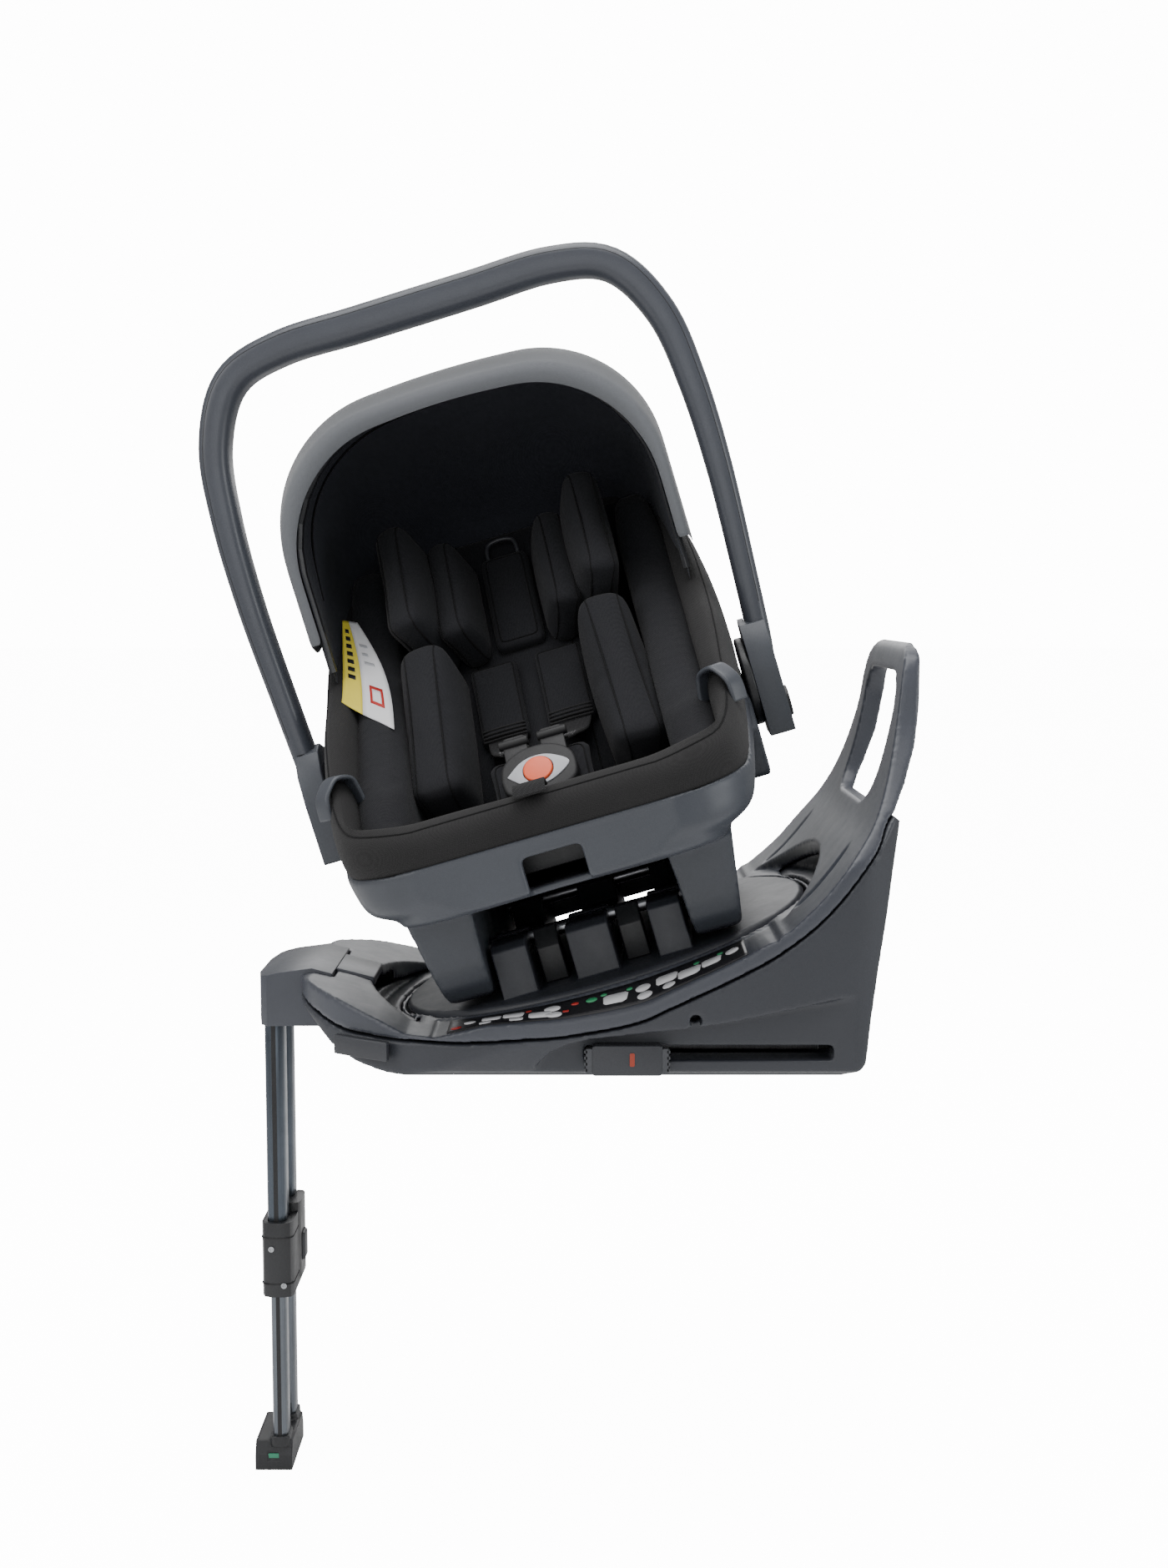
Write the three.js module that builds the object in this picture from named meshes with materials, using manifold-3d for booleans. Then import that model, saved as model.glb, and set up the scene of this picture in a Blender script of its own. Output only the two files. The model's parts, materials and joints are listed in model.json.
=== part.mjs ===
// Infant car seat: a removable carrier docked on a swivelling base with a rebound bar and a load leg.
// Millimetres, +Z up, +X toward the vehicle backrest. The origin is on the base's flat underside.

import * as THREE from 'three';
import { mergeVertices } from 'three/addons/utils/BufferGeometryUtils.js';
import { RoundedBoxGeometry } from 'three/addons/geometries/RoundedBoxGeometry.js';
import Module from 'manifold-3d';

const wasm = await Module();
wasm.setup();

const gap = 0.3;                // between touching pieces
const wall = 4;                 // moulded shell wall

const base = { halfWidth: 213, lowerHalfWidth: 190, floor: 4, slotLow: 214, slotHigh: 328, slotHalf: 84 };
const turntable = { tilt: 16.5, yaw: -2.5, centre: [18, 0, 80], radius: 187, thickness: 10, bowlDepth: 16 };
const leg = { x: -279, pivotZ: 44, spacing: 47, depth: 17, width: 26, skin: 1.2, upperEnd: -235, footTop: -380 };
const isofix = { spacing: 280, armWidth: 26, armHeight: 16, z: 23, blockX: 35, blockLength: 58 };
const hub = { z: 190, bossOuter: 196, capOuter: 219, reach: 401 };
const bow = { pivotY: 10, pivotZ: 303, halfWidth: 167, reach: 320 };
const recline = { angle: 45, y: -50, z: 112 };
const seatInside = 152;         // half-width between the padded side walls

// ---------------------------------------------------------------- geometry helpers

function toSolid(geometry) {
  const bare = geometry.clone();
  bare.deleteAttribute('normal');
  bare.deleteAttribute('uv');
  const welded = mergeVertices(bare, 1e-4);
  const vertProperties = new Float32Array(welded.attributes.position.array);
  const triVerts = new Uint32Array(welded.index.array);
  return new wasm.Manifold(new wasm.Mesh({ numProp: 3, vertProperties, triVerts }));
}

function toGeometry(solid) {
  const mesh = solid.getMesh();
  const geometry = new THREE.BufferGeometry();
  geometry.setAttribute('position', new THREE.BufferAttribute(mesh.vertProperties, 3));
  geometry.setIndex(new THREE.BufferAttribute(mesh.triVerts, 1));
  return geometry;
}

const cut = (body, ...tools) => toGeometry(tools.reduce((kept, tool) => kept.subtract(toSolid(tool)), toSolid(body)));
const join = (body, ...more) => toGeometry(more.reduce((kept, other) => kept.add(toSolid(other)), toSolid(body)));
const common = (body, ...more) => toGeometry(more.reduce((kept, other) => kept.intersect(toSolid(other)), toSolid(body)));

// An outline in one plane, pushed along the third axis from low to high.
function plate(plane, outline, low, high) {
  const shape = new THREE.Shape(outline.map(([u, v]) => new THREE.Vector2(u, v)));
  const geometry = new THREE.ExtrudeGeometry(shape, { depth: high - low, bevelEnabled: false });
  if (plane === 'xy') return geometry.translate(0, 0, low);
  if (plane === 'xz') return geometry.rotateX(Math.PI / 2).translate(0, high, 0);
  const x = new THREE.Vector3(1, 0, 0);
  const y = new THREE.Vector3(0, 1, 0);
  const z = new THREE.Vector3(0, 0, 1);
  return geometry.applyMatrix4(new THREE.Matrix4().makeBasis(y, z, x)).translate(low, 0, 0);
}

function block(xRange, yRange, zRange) {
  const size = [xRange, yRange, zRange].map(([low, high]) => high - low);
  const middle = [xRange, yRange, zRange].map(([low, high]) => (low + high) / 2);
  return new THREE.BoxGeometry(...size).translate(...middle);
}

function pad(width, depth, height, radius) {
  return new RoundedBoxGeometry(width, depth, height, 1, radius);
}

function rod(axis, radius, low, high, sides = 20) {
  const geometry = new THREE.CylinderGeometry(radius, radius, high - low, sides);
  const middle = (low + high) / 2;
  if (axis === 'x') return geometry.rotateZ(-Math.PI / 2).translate(middle, 0, 0);
  if (axis === 'z') return geometry.rotateX(Math.PI / 2).translate(0, 0, middle);
  return geometry.translate(0, middle, 0);
}

function smooth(points, steps) {
  const curve = new THREE.SplineCurve(points.map(([u, v]) => new THREE.Vector2(u, v)));
  return curve.getPoints(steps).map((point) => [point.x, point.y]);
}

function mirrored(halfOutline) {
  const otherHalf = halfOutline.filter(([, v]) => v !== 0).map(([u, v]) => [u, -v]).reverse();
  return [...halfOutline, ...otherHalf];
}

// A rectangle with rounded corners, centred on (u, v).
function roundRect(width, height, radius, u = 0, v = 0, cornerSteps = 2) {
  const points = [];
  for (let corner = 0; corner < 4; corner++) {
    const sideU = corner === 0 || corner === 3 ? 1 : -1;
    const sideV = corner < 2 ? 1 : -1;
    for (let step = 0; step <= cornerSteps; step++) {
      const angle = (corner + step / cornerSteps) * Math.PI / 2;
      points.push([
        u + sideU * (width / 2 - radius) + radius * Math.cos(angle),
        v + sideV * (height / 2 - radius) + radius * Math.sin(angle),
      ]);
    }
  }
  return points;
}

// A closed skin through outlines of equal point count, each placed by its own matrix.
function loft(sections) {
  const count = sections[0].outline.length;
  const positions = sections.flatMap(({ outline, place }) =>
    outline.flatMap(([u, v]) => new THREE.Vector3(u, v, 0).applyMatrix4(place).toArray()));
  const faces = [];
  for (let row = 0; row + 1 < sections.length; row++) {
    for (let i = 0; i < count; i++) {
      const a = row * count + i;
      const b = row * count + (i + 1) % count;
      faces.push([a, b, b + count], [a, b + count, a + count]);
    }
  }
  const capOf = (outline) => {
    const contour = outline.map(([u, v]) => new THREE.Vector2(u, v));
    const facesUp = THREE.ShapeUtils.triangulateShape(contour, []);
    return THREE.ShapeUtils.isClockWise(contour) ? facesUp.map(([a, b, c]) => [a, c, b]) : facesUp;
  };
  const winding = THREE.ShapeUtils.isClockWise(sections[0].outline.map(([u, v]) => new THREE.Vector2(u, v)));
  const last = (sections.length - 1) * count;
  for (const [a, b, c] of capOf(sections[0].outline)) faces.push(winding ? [a, b, c] : [a, c, b]);
  for (const [a, b, c] of capOf(sections.at(-1).outline)) {
    faces.push(winding ? [last + a, last + c, last + b] : [last + a, last + b, last + c]);
  }
  const corner = (index) => new THREE.Vector3(...positions.slice(index * 3, index * 3 + 3));
  const volume = faces.reduce((sum, [a, b, c]) => sum + corner(a).dot(corner(b).cross(corner(c))), 0);
  const outward = volume < 0 ? faces.map(([a, b, c]) => [a, c, b]) : faces;
  const geometry = new THREE.BufferGeometry();
  geometry.setAttribute('position', new THREE.Float32BufferAttribute(positions, 3));
  geometry.setIndex(outward.flat());
  return geometry;
}

// Places an outline's plane: its u and v axes and its origin.
function planeAt(uAxis, vAxis, origin) {
  const u = new THREE.Vector3(...uAxis);
  const v = new THREE.Vector3(...vAxis);
  return new THREE.Matrix4().makeBasis(u, v, u.clone().cross(v)).setPosition(...origin);
}

const stationAt = (y) => planeAt([1, 0, 0], [0, 0, 1], [0, y, 0]);

// A bar of rounded section along a curve, with one side of the section kept along the side vector.
function sweep(curve, steps, thicknessAt, widthAt, side) {
  const across = new THREE.Vector3(...side);
  const sections = [];
  for (let step = 0; step <= steps; step++) {
    const t = step / steps;
    const tangent = curve.getTangentAt(t);
    const normal = across.clone().cross(tangent).normalize();
    const squareSide = tangent.clone().cross(normal).normalize();
    const thickness = thicknessAt(t);
    const outline = roundRect(thickness, widthAt(t), thickness * 0.42, 0, 0, 1);
    sections.push({ outline, place: planeAt(normal.toArray(), squareSide.toArray(), curve.getPointAt(t).toArray()) });
  }
  return loft(sections);
}

const routeOf = (points) => new THREE.CatmullRomCurve3(points.map((point) => new THREE.Vector3(...point)));

// An arch in a plane: up one side, round two corners, across the top.
function archRoute(halfWidth, footZ, topZ, cornerRadius, spread = 0) {
  const route = new THREE.CurvePath();
  const at = (x, z) => new THREE.Vector3(x, 0, z);
  const shoulder = halfWidth + spread;
  const pull = cornerRadius * 0.45;
  route.add(new THREE.LineCurve3(at(-halfWidth, footZ), at(-shoulder, topZ - cornerRadius)));
  route.add(new THREE.CubicBezierCurve3(at(-shoulder, topZ - cornerRadius), at(-shoulder, topZ - pull),
    at(-shoulder + pull, topZ), at(-shoulder + cornerRadius, topZ)));
  route.add(new THREE.LineCurve3(at(-shoulder + cornerRadius, topZ), at(shoulder - cornerRadius, topZ)));
  route.add(new THREE.CubicBezierCurve3(at(shoulder - cornerRadius, topZ), at(shoulder - pull, topZ),
    at(shoulder, topZ - pull), at(shoulder, topZ - cornerRadius)));
  route.add(new THREE.LineCurve3(at(shoulder, topZ - cornerRadius), at(halfWidth, footZ)));
  return route;
}

// ---------------------------------------------------------------- finishes

const finishes = {
  shell: { color: 0x4d5156, roughness: 0.55, metalness: 0.0 },
  baseShell: { color: 0x484c52, roughness: 0.5, metalness: 0.0 },
  trim: { color: 0x1c1e21, roughness: 0.6, metalness: 0.0 },
  panel: { color: 0x121316, roughness: 0.45, metalness: 0.0 },
  steel: { color: 0x9ba0a5, roughness: 0.35, metalness: 0.9 },
  tube: { color: 0x8a9198, roughness: 0.35, metalness: 0.85 },
  fabric: { color: 0x1b1c1f, roughness: 0.95, metalness: 0.0 },
  rimFabric: { color: 0x242427, roughness: 0.95, metalness: 0.0 },
  canopy: { color: 0x5f6469, roughness: 0.85, metalness: 0.0 },
  webbing: { color: 0x0f1012, roughness: 0.9, metalness: 0.0 },
  buttonOrange: { color: 0xf07038, roughness: 0.4, metalness: 0.0 },
  plateGrey: { color: 0xc8c9cd, roughness: 0.4, metalness: 0.0 },
};

function part(name, geometry, finish, home) {
  const mesh = new THREE.Mesh(geometry, new THREE.MeshStandardMaterial(finishes[finish]));
  mesh.name = name;
  home.add(mesh);
  return mesh;
}

const carSeat = new THREE.Group();
const docked = new THREE.Group();          // the turntable's and the carrier's own tilted frame
docked.position.set(...turntable.centre);
docked.rotation.set(0, THREE.MathUtils.degToRad(-turntable.tilt), THREE.MathUtils.degToRad(turntable.yaw));
carSeat.add(docked);

// A body of revolution about the tilted axis, given in the turntable's frame, moved to the base's frame.
function tilted(geometry) {
  return geometry.rotateY(THREE.MathUtils.degToRad(-turntable.tilt)).translate(...turntable.centre);
}

// ---------------------------------------------------------------- base shells

const planHalf = smooth([[-252, 0], [-249, 62], [-236, 104], [-205, 143], [-160, 174], [-100, 198], [-20, 211],
  [60, base.halfWidth], [130, 208], [190, 198], [240, 182], [270, 142], [286, 90], [289, 0]], 26);
const planInner = planHalf.map(([x, y]) => [x * 0.982, y * 0.975]);
const seamLine = smooth([[-252, 48], [-208, 32], [-175, 29], [-107, 30], [-50, 35], [-12, 39], [42, 50], [72, 63],
  [125, 87], [162, 107], [200, 137], [237, 183], [255, 214], [300, 226]], 20);
const rearFace = [[230, 0], [235, 48], [241, 90], [248, 131], [254, 172], [260, 208]];
const discRise = Math.tan(THREE.MathUtils.degToRad(turntable.tilt));
const rimHeight = (x) => turntable.centre[2] - 5 + discRise * (x - turntable.centre[0]);

// The front view's outline: full width low down, narrowing to the rebound bar.
const frontHalf = smooth([[-20, 176], [0, 180], [8, 193], [28, 206], [60, 215], [110, 214], [160, 198], [200, 174], [240, 145], [285, 119], [320, 110],
  [342, 98], [354, 68]], 18).map(([z, y]) => [y, z]);

function frontOutline() {
  const left = frontHalf.map(([y, z]) => [-y, z]).reverse();
  return [...frontHalf, ...left];
}

function shellBlank(profile, planOutline) {
  return common(plate('xz', profile, -220, 220), plate('xy', planOutline, -30, 380), plate('yz', frontOutline(), -300, 300));
}

// The side pocket below the step line, where the connector sliders run.
function sidePocket(side, depthIn, grow) {
  const outline = [[-43 - grow, -20], [-43 - grow, 6], [-28 - grow, 28 + grow], [7, 37 + grow], [116, 50 + grow],
    [236, 71 + grow], [300, 71 + grow], [300, -20]];
  return side > 0 ? plate('xz', outline, depthIn, 230) : plate('xz', outline, -230, -depthIn);
}

const housingRoom = () => block([-320, -221.5], [-62 - gap, 62 + gap], [-30, 90]);
// Clear of the runners' corners as the carrier turns.
const turningRoom = (radius) => bowl(radius, -1, 70);
const bowl = (radius, low, high) => tilted(rod('z', radius, low, high, 44));

function baseLowerShell() {
  const seam = seamLine.filter(([x]) => x < 256);
  const outer = [[-252, 42], [-236, 34], [-214, 16], [-190, 5], [-165, 0], ...rearFace, ...seam.reverse()];
  const inner = [[-196, 14], [-165, base.floor], ...rearFace.map(([x, z]) => [x - 5, Math.max(z, base.floor)]),
    [256, 300], [-196, 300]];
  const pockets = [1, -1].map((side) => sidePocket(side, base.lowerHalfWidth, 0));
  const cavity = cut(common(plate('xz', inner, -220, 220), plate('xy', mirrored(planInner), -30, 380)),
    ...[1, -1].map((side) => sidePocket(side, base.lowerHalfWidth - wall, wall)));
  const legRoof = [[-262, 60], [-150, 6], [-134, -2], [-262, -2]];
  const legRoom = [[-300, 56], [-268, 56], [-152, -2], [-152, -30], [-300, -30]];
  const body = join(cut(shellBlank(outer, mirrored(planHalf)), ...pockets, cavity),
    common(plate('xz', legRoof, -48, 48), shellBlank(outer, mirrored(planHalf))));
  const slots = [1, -1].map((side) => block([0, 204], side > 0 ? [180, 196] : [-196, -180], [15, 27]));
  const mouths = [1, -1].map((side) => block([200, 290],
    [side * isofix.spacing / 2 - 20, side * isofix.spacing / 2 + 20], [9, 39]));
  return cut(body, plate('xz', legRoom, -44, 44), housingRoom(), ...slots, ...mouths,
    bowl(turntable.radius + 7, -turntable.bowlDepth - wall - 1, 260), turningRoom(214));
}

function baseUpperShell() {
  const seam = seamLine.map(([x, z]) => [x, z + gap]);
  const rimLine = [-120, 0, 140].map((x) => [x, rimHeight(x)]).reverse();
  const top = smooth([[283, 353], [275, 349], [269, 328], [263, 288], [252, 243], [238, 208], [219, 180], [194, 149],
    [166, 123]], 16);
  const back = [[266, 238], [277, 268], [284, 305], [286, 338]];
  const nose = [[-146, 34], [-172, 44], [-205, 55], [-238, 63], [-252, 60]];
  const blank = shellBlank([...seam.filter(([x]) => x < 258), ...back, ...top, ...rimLine, ...nose], mirrored(planHalf));
  const slot = plate('yz', roundRect(2 * base.slotHalf, base.slotHigh - base.slotLow, 28, 0,
    (base.slotLow + base.slotHigh) / 2, 3), 190, 300);
  const noseRoom = block([-232, -180], [-120, 120], [0, 40]);
  const hollow = common(plate('xz', [[-40, 0], [60, 36], [140, 76], [215, 130], [215, -10], [-40, -10]], -200, 200),
    plate('xy', mirrored(planInner), -30, 380));
  const cup = cut(bowl(turntable.radius + 6, -turntable.bowlDepth - wall, -3),
    bowl(turntable.radius + 2.5, -turntable.bowlDepth, 5));
  const shell = cut(blank, slot, noseRoom, hollow, housingRoom(), bowl(turntable.radius + 2.5, -120, 120),
    turningRoom(211), topButtonRoom());
  return join(shell, cup);
}

// ---------------------------------------------------------------- base controls

const topButton = { x: [-222, -188], y: [-34, 34] };

function topButtonRoom() {
  return block([topButton.x[0] - gap, topButton.x[1] + gap], [topButton.y[0] - gap, topButton.y[1] + gap], [41, 90]);
}

function frontReleaseButton() {
  const outline = [[topButton.x[0], 44], [topButton.x[1], 44], [topButton.x[1], 52], [topButton.x[0], 61]];
  return plate('xz', outline, ...topButton.y);
}

function sideReleaseLever() {
  const top = [[-206, -148], [-184, -163], [-160, -178], [-162, -184], [-187, -169.5], [-209, -154]];
  return plate('xy', top, 12, 28);
}

// ---------------------------------------------------------------- turntable

function discProfile() {
  const { radius, thickness } = turntable;
  const points = [[0, -thickness], [radius - 6, -thickness], [radius, -thickness + 4], [radius, -3], [radius - 3, 0],
    [0, 0]];
  return new THREE.LatheGeometry(points.map(([r, z]) => new THREE.Vector2(r, z)), 44).rotateX(Math.PI / 2);
}

// A dock rib with open notches that take the carrier's two lock bars.
function dockRib(centreX, width) {
  const notch = (y) => [[y - 9, 44], [y - 8, 32], [y - 4.5, 27.5], [y + 4.5, 27.5], [y + 8, 32], [y + 9, 44]];
  const outline = [[-150, -2], [-146, 40], [-138, 45], ...notch(-95), [-74, 44], [-62, 24], [62, 24], [74, 44],
    ...notch(95), [138, 45], [146, 40], [150, -2]];
  return plate('yz', outline, centreX - width / 2, centreX + width / 2);
}

function turntableDisc() {
  const ribs = [[-67, 30], [1, 36], [68, 28]].map(([x, width]) => dockRib(x, width));
  return join(discProfile(), ...ribs);
}

function bearingRing() {
  const low = -turntable.bowlDepth + gap;
  const high = -turntable.thickness - gap;
  const profile = [[140, low], [162, low], [162, high], [140, high], [140, low]];
  const ring = new THREE.LatheGeometry(profile.map(([r, z]) => new THREE.Vector2(r, z)), 40);
  return tilted(ring.rotateX(Math.PI / 2));
}

function dockLatch(side) {
  const outline = [[-128, gap], [-106, gap], [-106, 34], [-103.5, 40], [-106, 46], [-118, 46], [-128, 30]];
  return plate('yz', outline, side * 36 - 10, side * 36 + 10);
}

// ---------------------------------------------------------------- ISOFIX connectors

function isofixFrame() {
  const { spacing, armWidth, armHeight, z } = isofix;
  const arms = [1, -1].map((side) => block([-30, 196],
    [side * spacing / 2 - armWidth / 2, side * spacing / 2 + armWidth / 2], [z - armHeight / 2, z + armHeight / 2]));
  const links = [1, -1].map((side) => block([20, 50], side > 0 ? [spacing / 2, 191] : [-191, -spacing / 2], [17, 25]));
  const tie = block([-30, -10], [-spacing / 2, spacing / 2], [z - armHeight / 2, z + armHeight / 2]);
  return join(tie, ...arms, ...links);
}

function sliderBlock(side) {
  const { blockX, blockLength } = isofix;
  const outline = roundRect(blockLength, 25, 3, blockX, 17.5);
  const low = side > 0 ? 191 + gap : -203;
  return plate('xz', outline, low, low + 12 - gap);
}

function isofixClaw(side) {
  const jaw = [[196 + gap, 15], [214, 15], [229, 17], [229, 21], [219, 22], [217, 25], [219, 28], [229, 29], [229, 33],
    [214, 34], [196 + gap, 32]];
  const middle = side * isofix.spacing / 2;
  return plate('xz', jaw, middle - 11, middle + 11);
}

// ---------------------------------------------------------------- load leg

function legHousing() {
  const plan = [[-291, -30], [-291, 30], [-286, 56], [-280, 62], [-222, 62], [-222, -62], [-280, -62], [-286, -56]];
  const profile = [[-291, 14], [-291, 57], [-270, 62], [-240, 66], [-222, 61], [-222, 14]];
  const room = [[-288.6, 0], [-288.6, 53.5], [-266, 54.5], [-215, 33], [-215, 0]];
  return cut(common(plate('xy', plan, 0, 90), plate('xz', profile, -70, 70)), plate('xz', room, -44, 44));
}

const tubeCentres = [-leg.spacing / 2, leg.spacing / 2];

function legKnuckle() {
  const barrel = rod('y', 8.5, -42, 42, 18).translate(leg.x, 0, leg.pivotZ);
  const web = block([leg.x - 7.5, leg.x + 7.5], [-40, 40], [30, leg.pivotZ]);
  return join(barrel, web);
}

function legTube(y, depth, width, low, high, skin) {
  const outer = roundRect(depth, width, 5, leg.x, y);
  const inner = roundRect(depth - 2 * skin, width - 2 * skin, 4, leg.x, y);
  return cut(plate('xy', outer, low, high), plate('xy', inner, low - 1, high + 1));
}

function legCollar() {
  const outline = roundRect(28.5, 84, 8, leg.x + 1, 0, 2);
  const body = plate('xy', outline, -241, -172);
  const lobe = plate('xy', roundRect(16, 40, 6, leg.x + 9, 12, 2), -236, -164);
  const holes = tubeCentres.map((y) => plate('xy', roundRect(leg.depth + 2 * gap, leg.width + 2 * gap, 5, leg.x, y),
    -260, -140));
  return cut(join(body, lobe), ...holes, block([-267, -250], [3 - gap, 21 + gap], [-222 - gap, -196 + gap]));
}

function collarButton() {
  return pad(5, 18, 26, 2).translate(-261.5, 12, -209);
}

function legFoot() {
  const body = cut(block([-302, -268], [-36, 36], [-407, leg.footTop]), block([-290, -280], [-50, -32], [-397, -389]));
  return body;
}

// ---------------------------------------------------------------- carrier shell

// y, half-width at the top and bottom, bottom height, height where the fabric cover starts, cover top
const stations = [
  { y: -259, top: 104, bottom: 92, low: 97, seam: 139, crest: 172 },
  { y: -247, top: 133, bottom: 120, low: 93, seam: 139, crest: 176 },
  { y: -225, top: 156, bottom: 137, low: 90, seam: 140, crest: 181 },
  { y: -190, top: 169, bottom: 144, low: 87, seam: 142, crest: 196 },
  { y: -150, top: 175, bottom: 147, low: 85, seam: 151, crest: 221 },
  { y: -75, top: 182, bottom: 150, low: 84, seam: 175, crest: 258 },
  { y: 0, top: 185, bottom: 150, low: 84, seam: 205, crest: 287 },
  { y: 75, top: 184, bottom: 146, low: 88, seam: 240, crest: 326 },
  { y: 150, top: 177, bottom: 136, low: 112, seam: 275, crest: 364 },
  { y: 225, top: 160, bottom: 115, low: 160, seam: 305, crest: 397 },
  { y: 290, top: 124, bottom: 84, low: 222, seam: 330, crest: 404 },
  { y: 330, top: 72, bottom: 44, low: 282, seam: 345, crest: 380 },
];

function bucketOutline({ top, bottom, low }, high, shrink) {
  const wide = top - shrink;
  const narrow = bottom - shrink;
  const floor = low + shrink;
  const middle = [(wide + narrow) / 2 + 7, floor + (high - floor) * 0.42];
  const right = [[narrow - 20, floor], [narrow, floor + 13], middle, [wide, high]];
  return [...right, ...right.map(([x, z]) => [-x, z]).reverse()];
}

function runner(side) {
  const leftLeg = [[-84, 84], [-88, 8], [-94, 5], [-124, 5], [-128, 10], [-141, 92], [-84, 96]];
  const outline = side < 0 ? leftLeg : leftLeg.map(([x, z]) => [-x, z]).reverse();
  const rocker = [[-168, 96], [-160, 26], [-148, 10], [-120, 5], [70, 5], [115, 14], [150, 40], [165, 120], [-160, 120]];
  return common(plate('xz', outline, -170, 170), plate('yz', rocker, -150, 150));
}

function carrierShell() {
  const outer = loft(stations.map((station) => (
    { outline: bucketOutline(station, station.seam, 0), place: stationAt(station.y) })));
  const inside = stations.filter(({ y }) => y > -250 && y < 300);
  const inner = loft(inside.map((station) => (
    { outline: bucketOutline(station, station.seam + 60, wall), place: stationAt(station.y) })));
  const lobeOutline = [[-40, 178], [-44, 150], [-36, 108], [36, 108], [44, 150], [40, 204], [-20, 191]];
  const lobes = [plate('yz', lobeOutline, 150, 188), plate('yz', lobeOutline, -188, -150)];
  const bucket = cut(join(outer, runner(-1), runner(1), ...lobes), inner);
  const notch = block([-22, 26], [-280, -240], [80, 124]);
  const barSeats = [-95, 95].map((y) => rod('x', 6 + gap, -104, 104, 16).translate(0, y, 38));
  return cut(bucket, notch, ...barSeats);
}

function lockBar(y) {
  return rod('x', 6, -103, 103, 16).translate(0, y, 38);
}

function hubBoss(side) {
  const low = side > 0 ? 188 + gap : -hub.bossOuter;
  return rod('x', 40, low, low + hub.bossOuter - 188 - gap, 28).translate(0, 0, hub.z);
}

function seatLiner() {
  const rise = Math.SQRT1_2;
  const top = [[-216, 168], [-212, 112], [recline.y, 107], [recline.y + 395 * rise, 107 + 395 * rise]];
  const bottom = top.map(([y, z]) => [y + 4, z - 6]).reverse();
  bottom[bottom.length - 1] = [-221, 166];
  bottom[bottom.length - 2] = [-218, 106];
  return plate('yz', [...top, ...bottom], -120, 120);
}

// ---------------------------------------------------------------- soft parts of the carrier

function seatCoverRim() {
  const ring = loft(stations.map(({ y, top, seam, crest }) => {
    const bulge = top + 2;
    const right = [[top - 6, seam + gap], [bulge, seam + (crest - seam) * 0.45], [top - 9, crest]];
    return { outline: [...right, ...right.map(([x, z]) => [-x, z]).reverse()], place: stationAt(y) };
  }));
  const wellHalf = smooth([[-226, 0], [-225, 100], [-216, 142], [-195, seatInside - 1], [-100, seatInside],
    [150, seatInside], [210, 142], [252, 104], [266, 50], [268, 0]], 22);
  const well = plate('xy', mirrored(wellHalf).map(([y, x]) => [x, y]), 80, 460);
  return cut(ring, well);
}

function sideBolster(side) {
  const outline = [[-192, 120], [-196, 160], [-155, 196], [-75, 243], [0, 285], [75, 334], [134, 380], [158, 388],
    [176, 366], [60, 250], [-30, 158], [-64, 124]];
  return side > 0 ? plate('yz', outline, 116, 145) : plate('yz', outline, -145, -116);
}

function beltGuide(side) {
  const outline = [[-196, 196], [-150, 223], [-116, 241], [-110, 252], [-118, 250], [-152, 231], [-199, 204]];
  return side > 0 ? plate('yz', outline, 142, 174) : plate('yz', outline, -174, -142);
}

// The reclined frame: y runs up the backrest, z stands off it.
const back = new THREE.Group();
back.position.set(0, recline.y, recline.z);
back.rotation.x = THREE.MathUtils.degToRad(recline.angle);
docked.add(back);

function addSeatPads() {
  part('backrest_pad', pad(206, 356, 20, 8).translate(0, 200, 11), 'fabric', back);
  part('seat_pad', pad(206, 112, 18, 7).translate(0, -141, 124), 'fabric', docked);
  for (const [name, side] of [['left', -1], ['right', 1]]) {
    part(`side_bolster_${name}`, sideBolster(side), 'fabric', docked);
    const wing = pad(44, 182, 74, 15).rotateY(side * 0.12).rotateZ(side * 0.04).translate(side * 85, 86, 64);
    part(`body_wing_${name}`, wing, 'fabric', back);
  }
}

function addHeadrest() {
  const splay = 0.27;          // the wings lean outward, away from the head
  part('headrest_panel', pad(50, 124, 16, 7).translate(0, 262, 31), 'fabric', back);
  part('headrest_loop', cut(pad(30, 16, 7, 3), block([-10, 10], [-4, 4], [-9, 9])).translate(0, 334, 31), 'trim', back);
  for (const [name, side] of [['left', -1], ['right', 1]]) {
    part(`head_wing_${name}`, pad(32, 136, 90, 14).rotateY(side * splay).translate(side * 84, 258, 70), 'fabric', back);
    part(`head_hugger_${name}`, pad(28, 124, 62, 12).rotateY(side * splay).translate(side * 48, 253, 56), 'fabric', back);
  }
}

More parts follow.
